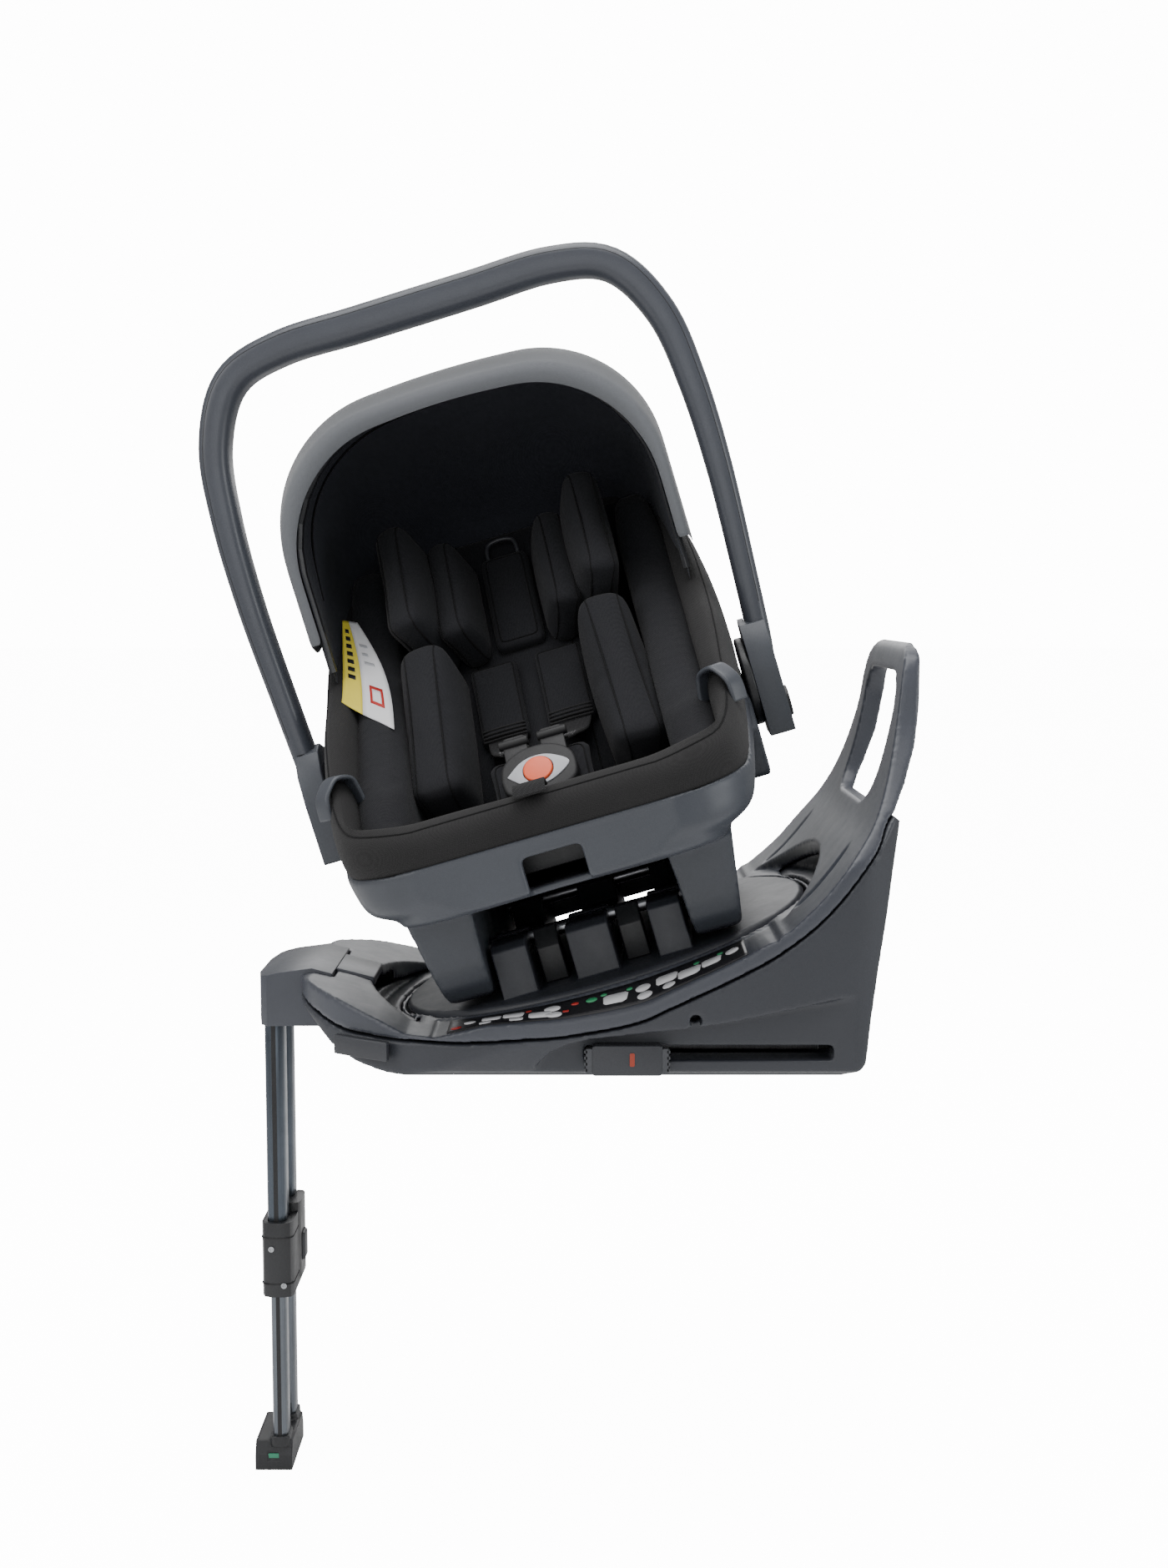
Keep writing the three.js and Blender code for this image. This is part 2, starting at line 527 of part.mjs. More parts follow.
function addHarness() {
  for (const [name, side] of [['left', -1], ['right', 1]]) {
    part(`shoulder_pad_${name}`, pad(46, 96, 13, 6).translate(side * 31, 138, 31), 'fabric', back);
    const route = routeOf([[side * 30, 88, 34], [side * 27, 66, 52], [side * 22, 42, 76], [side * 16, 22, 95]]);
    const strap = sweep(route, 10, () => 3, (t) => 36 - 14 * t, [1, 0, 0]);
    part(`shoulder_strap_${name}`, strap, 'webbing', back);
  }
  const buckle = new THREE.Group();
  buckle.position.set(0, -128, 173);
  buckle.rotation.x = THREE.MathUtils.degToRad(48);
  docked.add(buckle);
  const housing = cut(pad(67, 52, 20, 8), rod('z', 13 + gap, 2, 30, 24).translate(0, -2, 0),
    ...[-1, 1].map((side) => block([side * 16 - 12, side * 16 + 12], [16, 40], [-3, 3])));
  part('buckle_housing', housing, 'trim', buckle);
  part('buckle_button', rod('z', 13, 5.5, 13.5, 24).translate(0, -2, 0), 'buttonOrange', buckle);
  part('crotch_pad', pad(92, 64, 12, 5).translate(0, 3, -18), 'fabric', buckle);
  const adjuster = routeOf([[0, -226, 184], [0, -240, 184], [0, -252, 182], [0, -262, 177], [0, -268, 168]]);
  part('adjuster_strap', sweep(adjuster, 10, () => 3, () => 26, [1, 0, 0]), 'webbing', docked);
}

// ---------------------------------------------------------------- handle

const handleHalf = [[210, 6], [215, 95], [219, 190], [217, 270], [207, 335], [177, 385], [125, 401], [50, hub.reach]];
const handleRoute = routeOf([...handleHalf.map(([x, z]) => [-x, 0, z]), ...handleHalf.map(([x, z]) => [x, 0, z]).reverse()]);

function handleArch(extra = 0) {
  const thickness = (t) => 21 + 11 * Math.sin(Math.PI * t) ** 2 + 2 * extra;
  const width = (t) => 36 + 5 * Math.sin(Math.PI * t) ** 2 + 2 * extra;
  return sweep(handleRoute, 36, thickness, width, [0, 1, 0]).translate(0, 0, hub.z);
}

function handleCap(side) {
  const outline = [[-34, 140], [34, 140], [37, 195], [33, 222], [20, 240], [0, 246], [-20, 240], [-33, 222], [-37, 195]];
  const low = side > 0 ? hub.bossOuter + gap : -hub.capOuter;
  const high = side > 0 ? hub.capOuter : -hub.bossOuter - gap;
  const button = rod('x', 14 + gap, -7, 7, 24).translate(side * (hub.capOuter - 1), 0, 164);
  return cut(plate('yz', outline, low, high), handleArch(gap), button);
}

function handleButton(side) {
  return rod('x', 14, -4, 4, 24).translate(side * (hub.capOuter - 0.5), 0, 164);
}

// ---------------------------------------------------------------- canopy

// Sections stand in planes through the hub axis: angle above the rear horizontal, outer reach, inner edge, half-width.
const canopySections = [
  { angle: 92, reach: 327, edge: 112, half: 176 },
  { angle: 87, reach: 340, edge: 114, half: 178 },
  { angle: 80, reach: 353, edge: 122, half: 179 },
  { angle: 70, reach: 361, edge: 148, half: 178 },
  { angle: 60, reach: 364, edge: 186, half: 174 },
  { angle: 50, reach: 366, edge: 250, half: 166 },
  { angle: 42, reach: 367, edge: 316, half: 152 },
  { angle: 38, reach: 364, edge: 338, half: 138 },
];

function canopyFabric() {
  const shoulder = 114;
  const archOutline = (half, reach, edge) => {
    const drop = Math.min(shoulder, reach - edge - 4);
    const right = [[half, edge]];
    for (let step = 0; step <= 5; step++) {
      const angle = step / 5 * Math.PI / 2;
      right.push([half - shoulder + shoulder * Math.cos(angle), reach - drop + drop * Math.sin(angle)]);
    }
    return [...right, ...right.map(([x, r]) => [-x, r]).reverse()];
  };
  return loft(canopySections.map(({ angle, reach, edge, half }) => {
    const turn = THREE.MathUtils.degToRad(angle);
    const outline = [...archOutline(half, reach, edge), ...archOutline(half - 3, reach - 3, edge).reverse()];
    return { outline, place: planeAt([1, 0, 0], [0, Math.cos(turn), Math.sin(turn)], [0, 0, hub.z]) };
  }));
}

function canopyBow() {
  const route = archRoute(bow.halfWidth, bow.pivotZ - hub.z, bow.reach, 120);
  return sweep(route, 28, () => 6, () => 14, [0, 1, 0]).translate(0, bow.pivotY, hub.z);
}

// ---------------------------------------------------------------- assembly

part('base_lower_shell', baseLowerShell(), 'baseShell', carSeat);
part('base_upper_shell', baseUpperShell(), 'baseShell', carSeat);
part('front_release_button', frontReleaseButton(), 'shell', carSeat);
part('side_release_lever', sideReleaseLever(), 'shell', carSeat);
part('bearing_ring', bearingRing(), 'trim', carSeat);
part('leg_housing', legHousing(), 'baseShell', carSeat);

part('isofix_frame', isofixFrame(), 'steel', carSeat);
for (const [name, side] of [['near', -1], ['far', 1]]) {
  part(`slider_block_${name}`, sliderBlock(side), 'shell', carSeat);
  part(`isofix_claw_${name}`, isofixClaw(side), 'trim', carSeat);
}

part('leg_knuckle', legKnuckle(), 'trim', carSeat);
for (const [name, y] of [['near', tubeCentres[0]], ['far', tubeCentres[1]]]) {
  part(`upper_tube_${name}`, legTube(y, leg.depth, leg.width, leg.upperEnd, 30 - gap, leg.skin), 'tube', carSeat);
  part(`lower_tube_${name}`, legTube(y, 13.8, 22.8, leg.footTop + gap, -60, 2), 'tube', carSeat);
}
part('leg_collar', legCollar(), 'trim', carSeat);
part('collar_button', collarButton(), 'shell', carSeat);
part('leg_foot', legFoot(), 'trim', carSeat);

part('turntable_disc', turntableDisc(), 'baseShell', docked);
part('dock_latch_left', dockLatch(-1), 'trim', docked);
part('dock_latch_right', dockLatch(1), 'trim', docked);

part('carrier_shell', carrierShell(), 'shell', docked);
part('lock_bar_front', lockBar(-95), 'steel', docked);
part('lock_bar_rear', lockBar(95), 'steel', docked);
part('seat_liner', seatLiner(), 'trim', docked);
part('seat_cover_rim', seatCoverRim(), 'rimFabric', docked);
addSeatPads();
addHeadrest();
addHarness();
for (const [name, side] of [['left', -1], ['right', 1]]) {
  part(`belt_guide_${name}`, beltGuide(side), 'shell', docked);
  part(`hub_boss_${name}`, hubBoss(side), 'trim', docked);
  part(`handle_cap_${name}`, handleCap(side), 'shell', docked);
  part(`handle_button_${name}`, handleButton(side), 'trim', docked);
}
part('handle_arch', handleArch(), 'shell', docked);
part('canopy_bow', canopyBow(), 'trim', docked);
part('canopy_fabric', canopyFabric(), 'canopy', docked);

export default carSeat;
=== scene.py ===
# Infant car seat on its swivelling base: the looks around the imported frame. Shapes are in millimetres
# until settle() turns them into metres at their place.
import json
import math

import bpy
from mathutils import Matrix, Vector
from mathutils.bvhtree import BVHTree

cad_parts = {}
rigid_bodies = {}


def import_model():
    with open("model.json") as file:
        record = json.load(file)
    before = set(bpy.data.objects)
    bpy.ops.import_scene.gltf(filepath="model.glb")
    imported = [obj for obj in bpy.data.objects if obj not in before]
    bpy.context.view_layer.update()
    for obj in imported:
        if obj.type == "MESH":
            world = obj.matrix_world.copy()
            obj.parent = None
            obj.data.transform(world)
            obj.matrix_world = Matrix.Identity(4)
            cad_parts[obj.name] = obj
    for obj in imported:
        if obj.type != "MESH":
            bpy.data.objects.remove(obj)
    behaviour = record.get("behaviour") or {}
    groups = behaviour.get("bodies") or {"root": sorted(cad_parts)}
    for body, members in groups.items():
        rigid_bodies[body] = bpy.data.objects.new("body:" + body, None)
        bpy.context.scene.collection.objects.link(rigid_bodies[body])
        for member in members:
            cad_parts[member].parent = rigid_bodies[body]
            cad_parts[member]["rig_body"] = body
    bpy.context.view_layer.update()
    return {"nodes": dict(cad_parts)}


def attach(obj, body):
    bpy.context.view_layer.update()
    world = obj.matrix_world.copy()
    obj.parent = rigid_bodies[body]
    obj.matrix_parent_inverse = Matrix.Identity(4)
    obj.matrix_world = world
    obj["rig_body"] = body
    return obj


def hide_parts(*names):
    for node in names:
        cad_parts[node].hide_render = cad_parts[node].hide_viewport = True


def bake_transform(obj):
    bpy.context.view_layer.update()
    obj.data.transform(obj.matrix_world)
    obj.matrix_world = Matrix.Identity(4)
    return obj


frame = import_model()

# places
milli = 0.001
mostTriangles = 190000     # in one moulded shell
shrink = Matrix.Scale(milli, 4)
grow = Matrix.Scale(1000, 4)
tilt = {"lean": -16.5, "turn": -2.5, "centre": (18, 0, 80)}


def shifted(x, y, z):
    return Matrix.Translation(Vector((x, y, z)) * milli)


def turned(degrees, axis):
    return Matrix.Rotation(math.radians(degrees), 4, axis)


ground = Matrix.Identity(4)                                 # the base's own frame
leaning = shifted(*tilt["centre"]) @ turned(tilt["lean"], "Y")    # the turntable's axis
docked = leaning @ turned(tilt["turn"], "Z")                # the carrier on the turntable
backrest = docked @ shifted(0, -50, 112) @ turned(45, "X")
buckleSeat = docked @ shifted(0, -128, 173) @ turned(48, "X")

# camera and light
camera = {"place": (0, -1.700, 0.3886), "pitch": 84.44, "lens": 43.295, "sensor": 36}
studio = {
    "worldLight": 0.45, "backdrop": 14.0, "floorGlow": 13.0, "aim": (0, 0, 0.2), "floor": -0.4075, "floorSize": 60,
}
floorPaint = {
    "Base Color": (0.93, 0.93, 0.93, 1), "Roughness": 0.9, "Specular IOR Level": 0.1,
    "Emission Color": (1, 1, 1, 1),
}
lamps = [
    # name, place, size, watts, colour: soft boxes over, beside, behind and in front of the seat
    ("overhead", (-0.15, -0.25, 2.3), 2.0, 62, (1.0, 1.0, 1.0)),
    ("leftBox", (-2.2, -1.3, 1.3), 1.6, 26, (1.0, 0.99, 0.98)),
    ("rightBox", (2.4, -0.9, 0.9), 1.2, 20, (0.97, 0.99, 1.0)),
    ("backBox", (0.2, 2.2, 1.6), 2.0, 30, (1.0, 1.0, 1.0)),
    ("frontBox", (-0.3, -2.9, 0.75), 1.6, 13, (0.98, 0.99, 1.0)),
]


def addCamera():
    data = bpy.data.cameras.new("camera")
    data.lens = camera["lens"]
    data.sensor_width = camera["sensor"]
    eye = bpy.data.objects.new("camera", data)
    eye.location = camera["place"]
    eye.rotation_euler = (math.radians(camera["pitch"]), 0, 0)
    bpy.context.scene.collection.objects.link(eye)
    bpy.context.scene.camera = eye


def addLamps():
    for name, place, size, watts, colour in lamps:
        data = bpy.data.lights.new(name, "AREA")
        data.energy = watts
        data.size = size
        data.color = colour
        lamp = bpy.data.objects.new(name, data)
        lamp.location = place
        aim = Vector(studio["aim"]) - Vector(place)
        lamp.rotation_euler = aim.to_track_quat("-Z", "Y").to_euler()
        bpy.context.scene.collection.objects.link(lamp)
    world = bpy.data.worlds.new("studio")
    world.use_nodes = True
    tree = world.node_tree
    background = tree.nodes["Background"]
    background.inputs["Color"].default_value = (1, 1, 1, 1)
    # bright where the camera looks past the seat, gentle as a light
    seen = tree.nodes.new("ShaderNodeLightPath").outputs["Is Camera Ray"]
    strength = rangeNode(tree, seen, 0.0, 1.0, studio["worldLight"], studio["backdrop"])
    tree.links.new(strength, background.inputs["Strength"])
    bpy.context.scene.world = world


def addFloor():
    clearSelection()
    bpy.ops.mesh.primitive_plane_add(size=studio["floorSize"], location=(0, 0, studio["floor"]))
    floor = bpy.context.object
    floor.name = "floor"
    material = bpy.data.materials.new("paleFloor")
    material.use_nodes = True
    tree = material.node_tree
    shader = tree.nodes["Principled BSDF"]
    for label, value in floorPaint.items():
        shader.inputs[label].default_value = value
    seen = tree.nodes.new("ShaderNodeLightPath").outputs["Is Camera Ray"]
    glow = mathNode(tree, "MULTIPLY", seen, studio["floorGlow"])
    tree.links.new(glow, shader.inputs["Emission Strength"])
    floor.data.materials.append(material)


# shader groups
def newGroup(name, takes):
    # Each effect takes a vector and its own values, and gives a colour, a roughness and a height.
    group = bpy.data.node_groups.new(name, "ShaderNodeTree")
    group.interface.new_socket(name="Vector", in_out="INPUT", socket_type="NodeSocketVector")
    for label, value in takes.items():
        kind = "NodeSocketColor" if isinstance(value, tuple) else "NodeSocketFloat"
        group.interface.new_socket(name=label, in_out="INPUT", socket_type=kind).default_value = value
    group.interface.new_socket(name="Colour", in_out="OUTPUT", socket_type="NodeSocketColor")
    group.interface.new_socket(name="Roughness", in_out="OUTPUT", socket_type="NodeSocketFloat")
    group.interface.new_socket(name="Height", in_out="OUTPUT", socket_type="NodeSocketFloat")
    return group, group.nodes.new("NodeGroupInput"), group.nodes.new("NodeGroupOutput")


def closeGroup(group, result, colour, roughness, height):
    group.links.new(colour, result.inputs["Colour"])
    group.links.new(roughness, result.inputs["Roughness"])
    group.links.new(height, result.inputs["Height"])
    return group


def noiseNode(tree, vector, scale, detail=3.0, roughness=0.5):
    node = tree.nodes.new("ShaderNodeTexNoise")
    node.inputs["Scale"].default_value = scale
    node.inputs["Detail"].default_value = detail
    node.inputs["Roughness"].default_value = roughness
    tree.links.new(vector, node.inputs["Vector"])
    return node.outputs["Fac"]


def mathNode(tree, operation, first, second=None, third=None):
    node = tree.nodes.new("ShaderNodeMath")
    node.operation = operation
    for index, value in enumerate((first, second, third)):
        if value is None:
            continue
        if isinstance(value, (int, float)):
            node.inputs[index].default_value = value
        else:
            tree.links.new(value, node.inputs[index])
    return node.outputs[0]


def rangeNode(tree, value, fromLow, fromHigh, toLow, toHigh):
    node = tree.nodes.new("ShaderNodeMapRange")
    tree.links.new(value, node.inputs["Value"])
    for index, bound in enumerate((fromLow, fromHigh, toLow, toHigh)):
        if isinstance(bound, (int, float)):
            node.inputs[index + 1].default_value = bound
        else:
            tree.links.new(bound, node.inputs[index + 1])
    return node.outputs["Result"]


def mixColour(tree, amount, first, second):
    node = tree.nodes.new("ShaderNodeMix")
    node.data_type = "RGBA"
    tree.links.new(amount, node.inputs[0])
    for socket, value in ((node.inputs[6], first), (node.inputs[7], second)):
        if isinstance(value, tuple):
            socket.default_value = value
        else:
            tree.links.new(value, socket)
    return node.outputs[2]


# In these three: noise is scale, detail and roughness; a range is from low, from high, to low, to high.
mouldedLook = {
    "fine": (1500, 2.0), "flow": (7, 4.0, 0.6), "smudge": (38, 5.0, 0.7), "flowColour": (0.012, 0.012, 0.014, 1),
    "edgeRange": (0.53, 0.62, 0.0, 1.0), "rubRange": (0.3, 0.7, 0.3, 1.0), "flowRange": (0.3, 0.7, 0.0, 0.22),
    "speckRange": (0.35, 0.75, 0.0, 0.10), "roughRange": (0.25, 0.75, -0.05, 0.06),
}
wovenLook = {
    "skew": 0.18, "slub": (260, 4.0, 0.65), "fade": (11, 3.0), "slubHeight": 0.6,
    "yarnRange": (-1.2, 1.6, 0.0, 1.0), "slubRange": (0.3, 0.7, 0.35, 1.0),
    "fadeRange": (0.35, 0.7, 0.0, 0.3), "roughRange": (0.3, 0.7, 0.82, 0.97),
}
drawnLook = {
    "stretch": (1.0, 1.0, 0.012), "lines": (1800, 3.0), "cloud": (22, 4.0, 0.65),
    "lineRange": (0.35, 0.7, 0.0, 0.5), "cloudRange": (0.4, 0.75, 0.0, 0.35),
    "roughRange": (0.3, 0.7, -0.06, 0.08),
}


def makeMouldedGroup():
    # Fine moulded grain, faint flow marks and rubbed edges for plastic.
    takes = {"Colour": (0.05, 0.05, 0.06, 1), "Rubbed": (0.15, 0.15, 0.16, 1), "Grain": 1500.0, "Roughness": 0.5,
             "Wear": 0.5}
    group, given, result = newGroup("mouldedGrain", takes)
    space = given.outputs["Vector"]
    rubbedColour = given.outputs["Rubbed"]
    fine = noiseNode(group, space, *mouldedLook["fine"])
    group.links.new(given.outputs["Grain"], fine.node.inputs["Scale"])
    flow = noiseNode(group, space, *mouldedLook["flow"])
    smudge = noiseNode(group, space, *mouldedLook["smudge"])
    edge = group.nodes.new("ShaderNodeNewGeometry").outputs["Pointiness"]
    worn = rangeNode(group, edge, *mouldedLook["edgeRange"])
    rub = mathNode(group, "MULTIPLY", worn, given.outputs["Wear"])
    rub = mathNode(group, "MULTIPLY", rub, rangeNode(group, smudge, *mouldedLook["rubRange"]))
    shade = rangeNode(group, flow, *mouldedLook["flowRange"])
    colour = mixColour(group, shade, given.outputs["Colour"], mouldedLook["flowColour"])
    colour = mixColour(group, rangeNode(group, fine, *mouldedLook["speckRange"]), colour, rubbedColour)
    colour = mixColour(group, rub, colour, rubbedColour)
    swing = rangeNode(group, smudge, *mouldedLook["roughRange"])
    roughness = mathNode(group, "ADD", given.outputs["Roughness"], swing)
    return closeGroup(group, result, colour, roughness, fine)


def makeWovenGroup():
    # Crossing yarns in the piece's own space, with slubs and faded patches.
    takes = {"Colour": (0.012, 0.012, 0.014, 1), "Thread": (0.03, 0.03, 0.034, 1), "Yarns": 900.0}
    group, given, result = newGroup("wovenCloth", takes)
    space = given.outputs["Vector"]
    split = group.nodes.new("ShaderNodeSeparateXYZ")
    group.links.new(space, split.inputs[0])
    waves = []
    for first, second in (("X", "Y"), ("Y", "Z"), ("Z", "X")):
        aside = mathNode(group, "MULTIPLY", split.outputs[second], wovenLook["skew"])
        along = mathNode(group, "ADD", split.outputs[first], aside)
        waves.append(mathNode(group, "SINE", mathNode(group, "MULTIPLY", along, given.outputs["Yarns"])))
    yarn = mathNode(group, "MULTIPLY", waves[0], waves[1])
    for first, second in ((1, 2), (2, 0)):
        yarn = mathNode(group, "ADD", yarn, mathNode(group, "MULTIPLY", waves[first], waves[second]))
    height = rangeNode(group, yarn, *wovenLook["yarnRange"])
    slub = noiseNode(group, space, *wovenLook["slub"])
    faded = noiseNode(group, space, *wovenLook["fade"])
    raised = mathNode(group, "MULTIPLY", height, rangeNode(group, slub, *wovenLook["slubRange"]))
    colour = mixColour(group, raised, given.outputs["Colour"], given.outputs["Thread"])
    colour = mixColour(group, rangeNode(group, faded, *wovenLook["fadeRange"]), colour, given.outputs["Thread"])
    roughness = rangeNode(group, slub, *wovenLook["roughRange"])
    relief = mathNode(group, "ADD", height, mathNode(group, "MULTIPLY", slub, wovenLook["slubHeight"]))
    return closeGroup(group, result, colour, roughness, relief)


def makeDrawnGroup():
    # Long fine draw lines along Z for tube and bar stock.
    takes = {"Colour": (0.3, 0.31, 0.33, 1), "Dull": (0.16, 0.17, 0.18, 1), "Roughness": 0.35}
    group, given, result = newGroup("drawnMetal", takes)
    space = given.outputs["Vector"]
    stretch = group.nodes.new("ShaderNodeMapping")
    stretch.inputs["Scale"].default_value = drawnLook["stretch"]
    group.links.new(space, stretch.inputs["Vector"])
    lines = noiseNode(group, stretch.outputs[0], *drawnLook["lines"])
    cloud = noiseNode(group, space, *drawnLook["cloud"])
    dull = given.outputs["Dull"]
    colour = mixColour(group, rangeNode(group, lines, *drawnLook["lineRange"]), given.outputs["Colour"], dull)
    colour = mixColour(group, rangeNode(group, cloud, *drawnLook["cloudRange"]), colour, dull)
    swing = rangeNode(group, cloud, *drawnLook["roughRange"])
    roughness = mathNode(group, "ADD", given.outputs["Roughness"], swing)
    return closeGroup(group, result, colour, roughness, lines)


moulded = makeMouldedGroup()
woven = makeWovenGroup()
drawn = makeDrawnGroup()
relief = {"plastic": 0.10, "plasticDepth": 0.0003, "clothDepth": 0.0004, "metal": 0.05, "metalDepth": 0.0001}


def finishOf(name, group, bump, depth, values, shaderValues):
    # One material: the group's colour, roughness and height into its own Principled shader.
    material = bpy.data.materials.new(name)
    material.use_nodes = True
    tree = material.node_tree
    shader = tree.nodes["Principled BSDF"]
    place = tree.nodes.new("ShaderNodeTexCoord")
    effect = tree.nodes.new("ShaderNodeGroup")
    effect.node_tree = group
    tree.links.new(place.outputs["Object"], effect.inputs["Vector"])
    for label, value in values.items():
        effect.inputs[label].default_value = value
    relief = tree.nodes.new("ShaderNodeBump")
    relief.inputs["Strength"].default_value = bump
    relief.inputs["Distance"].default_value = depth
    tree.links.new(effect.outputs["Height"], relief.inputs["Height"])
    tree.links.new(relief.outputs["Normal"], shader.inputs["Normal"])
    tree.links.new(effect.outputs["Colour"], shader.inputs["Base Color"])
    tree.links.new(effect.outputs["Roughness"], shader.inputs["Roughness"])
    for label, value in shaderValues.items():
        shader.inputs[label].default_value = value
    return material


def tint(red, green, blue):
    return (red, green, blue, 1)


def plastic(name, colour, rubbed, roughness, wear=0.5):
    values = {"Colour": tint(*colour), "Rubbed": tint(*rubbed), "Grain": 1500.0, "Roughness": roughness,
              "Wear": wear}
    return finishOf(name, moulded, relief["plastic"], relief["plasticDepth"], values, {})


def cloth(name, colour, thread, yarns, bump=0.35, sheen=0.04):
    values = {"Colour": tint(*colour), "Thread": tint(*thread), "Yarns": yarns}
    shaderValues = {"Sheen Weight": sheen, "Sheen Roughness": 0.5, "Specular IOR Level": 0.25}
    return finishOf(name, woven, bump, relief["clothDepth"], values, shaderValues)


def metal(name, colour, dull, roughness, metallic=1.0):
    values = {"Colour": tint(*colour), "Dull": tint(*dull), "Roughness": roughness}
    return finishOf(name, drawn, relief["metal"], relief["metalDepth"], values, {"Metallic": metallic})


plastics = {
    # colour, rubbed colour, roughness, wear where it isn't the usual
    "carrierPlastic": ((0.043, 0.049, 0.061), (0.12, 0.13, 0.145), 0.44),
    "handlePlastic": ((0.046, 0.051, 0.064), (0.12, 0.13, 0.145), 0.36),
    "coverPlastic": ((0.047, 0.052, 0.066), (0.13, 0.135, 0.155), 0.38),
    "trayPlastic": ((0.026, 0.029, 0.037), (0.09, 0.095, 0.11), 0.46),
    "blackPlastic": ((0.010, 0.0107, 0.0125), (0.045, 0.047, 0.052), 0.42),
    # near-black plastic; the same colour is laid on the leg tubes as painted shade in their grooves
    "darkPlasticAndGrooveShade": ((0.007, 0.007, 0.008), (0.02, 0.02, 0.022), 0.6, 0.0),
    "blockPlastic": ((0.027, 0.029, 0.035), (0.10, 0.105, 0.115), 0.44),
    "plateGrey": ((0.42, 0.43, 0.46), (0.55, 0.55, 0.57), 0.35, 0.2),
    "buttonOrange": ((0.86, 0.105, 0.022), (0.88, 0.22, 0.09), 0.36, 0.1),
    "windowRed": ((0.33, 0.035, 0.012), (0.4, 0.08, 0.04), 0.3, 0.0),
    "windowGreen": ((0.03, 0.24, 0.13), (0.1, 0.3, 0.2), 0.3, 0.0),
    "patchYellow": ((0.72, 0.60, 0.055), (0.8, 0.7, 0.2), 0.55, 0.0),
    "patchWhite": ((0.72, 0.72, 0.74), (0.8, 0.8, 0.8), 0.5, 0.0),
    "patchBlack": ((0.008, 0.008, 0.010), (0.02, 0.02, 0.02), 0.35, 0.0),
    "markRed": ((0.45, 0.02, 0.015), (0.5, 0.1, 0.1), 0.45, 0.0),
    "markGreen": ((0.03, 0.30, 0.12), (0.1, 0.4, 0.2), 0.45, 0.0),
}
cloths = {
    # colour, thread colour, yarns, relief and sheen where they aren't the usual
    "blackCloth": ((0.0070, 0.0072, 0.0088), (0.019, 0.0195, 0.0235), 5200.0),
    "rimCloth": ((0.011, 0.0108, 0.0112), (0.027, 0.0265, 0.027), 4700.0),
    "liningCloth": ((0.024, 0.0255, 0.0335), (0.046, 0.049, 0.062), 6200.0, 0.25),
    "canopyCloth": ((0.110, 0.116, 0.126), (0.155, 0.162, 0.174), 6800.0, 0.12, 0.25),
    "seamCloth": ((0.003, 0.003, 0.0035), (0.008, 0.008, 0.009), 5200.0, 0.2, 0.0),
    "strapWeb": ((0.0085, 0.0085, 0.009), (0.024, 0.024, 0.026), 3000.0, 0.5),
    "threadCloth": ((0.10, 0.10, 0.105), (0.18, 0.18, 0.185), 9000.0, 0.3),
}
metals = {
    # colour, dull colour, roughness, metallic
    "tubeMetal": ((0.085, 0.100, 0.120), (0.050, 0.059, 0.072), 0.32, 0.85),
    "innerTubeMetal": ((0.16, 0.175, 0.195), (0.10, 0.11, 0.125), 0.30, 0.9),
    "steelMetal": ((0.42, 0.43, 0.45), (0.25, 0.26, 0.27), 0.3),
}
look = {name: plastic(name, *row) for name, row in plastics.items()}
look.update({name: cloth(name, *row) for name, row in cloths.items()})
look.update({name: metal(name, *row) for name, row in metals.items()})


# modelling helpers
def clearSelection():
    if bpy.context.object and bpy.context.object.mode != "OBJECT":
        bpy.ops.object.mode_set(mode="OBJECT")
    for item in list(bpy.context.selected_objects):
        item.select_set(False)


def hold(piece):
    clearSelection()
    piece.select_set(True)
    bpy.context.view_layer.objects.active = piece
    return piece


def applied(piece, kind, **settings):
    hold(piece)
    modifier = piece.modifiers.new(kind.lower(), kind)
    for label, value in settings.items():
        setattr(modifier, label, value)
    bpy.ops.object.modifier_apply(modifier=modifier.name)
    return piece


def meshPiece(points, faces):
    mesh = bpy.data.meshes.new("shape")
    mesh.from_pydata([tuple(p) for p in points], [], faces)
    mesh.validate()
    piece = bpy.data.objects.new("shape", mesh)
    bpy.context.scene.collection.objects.link(piece)
    return piece


def editAll(piece):
    hold(piece)
    bpy.ops.object.mode_set(mode="EDIT")
    bpy.ops.mesh.select_all(action="SELECT")


def outward(piece):
    editAll(piece)
    bpy.ops.mesh.normals_make_consistent(inside=False)
    bpy.ops.object.mode_set(mode="OBJECT")
    return piece


def spline(points, steps):
    out = []
    last = len(points) - 1
    for step in range(steps + 1):
        at = step / steps * last
        i = min(int(at), last - 1)
        t = at - i
        around = (points[max(i - 1, 0)], points[i], points[i + 1], points[min(i + 2, last)])
        out.append(tuple(
            b + 0.5 * t * (c - a + t * (2 * a - 5 * b + 4 * c - d + t * (3 * (b - c) + d - a)))
            for a, b, c, d in zip(*around)))
    return out


def evenly(points, count):
    # The same polyline with evenly spaced points.
    lengths = [0.0]
    for a, b in zip(points, points[1:]):
        lengths.append(lengths[-1] + (Vector(b) - Vector(a)).length)
    out = []
    spot = 0
    for step in range(count):
        want = lengths[-1] * step / (count - 1)
        while spot < len(points) - 2 and lengths[spot + 1] < want:
            spot += 1
        share = (want - lengths[spot]) / max(lengths[spot + 1] - lengths[spot], 1e-9)
        out.append(tuple(Vector(points[spot]).lerp(Vector(points[spot + 1]), share)))
    return out


def valueAt(table, x):
    # Straight interpolation in a list of (x, value), sorted by x.
    for (a, first), (b, second) in zip(table, table[1:]):
        if x <= b:
            return first + (second - first) * max(0.0, (x - a) / max(b - a, 1e-9))
    return table[-1][1]


def closedLoop(points):
    return points + [points[0]]


def mirroredOutline(half):
    return list(half) + [(u, -v) for u, v in reversed(half) if v != 0]


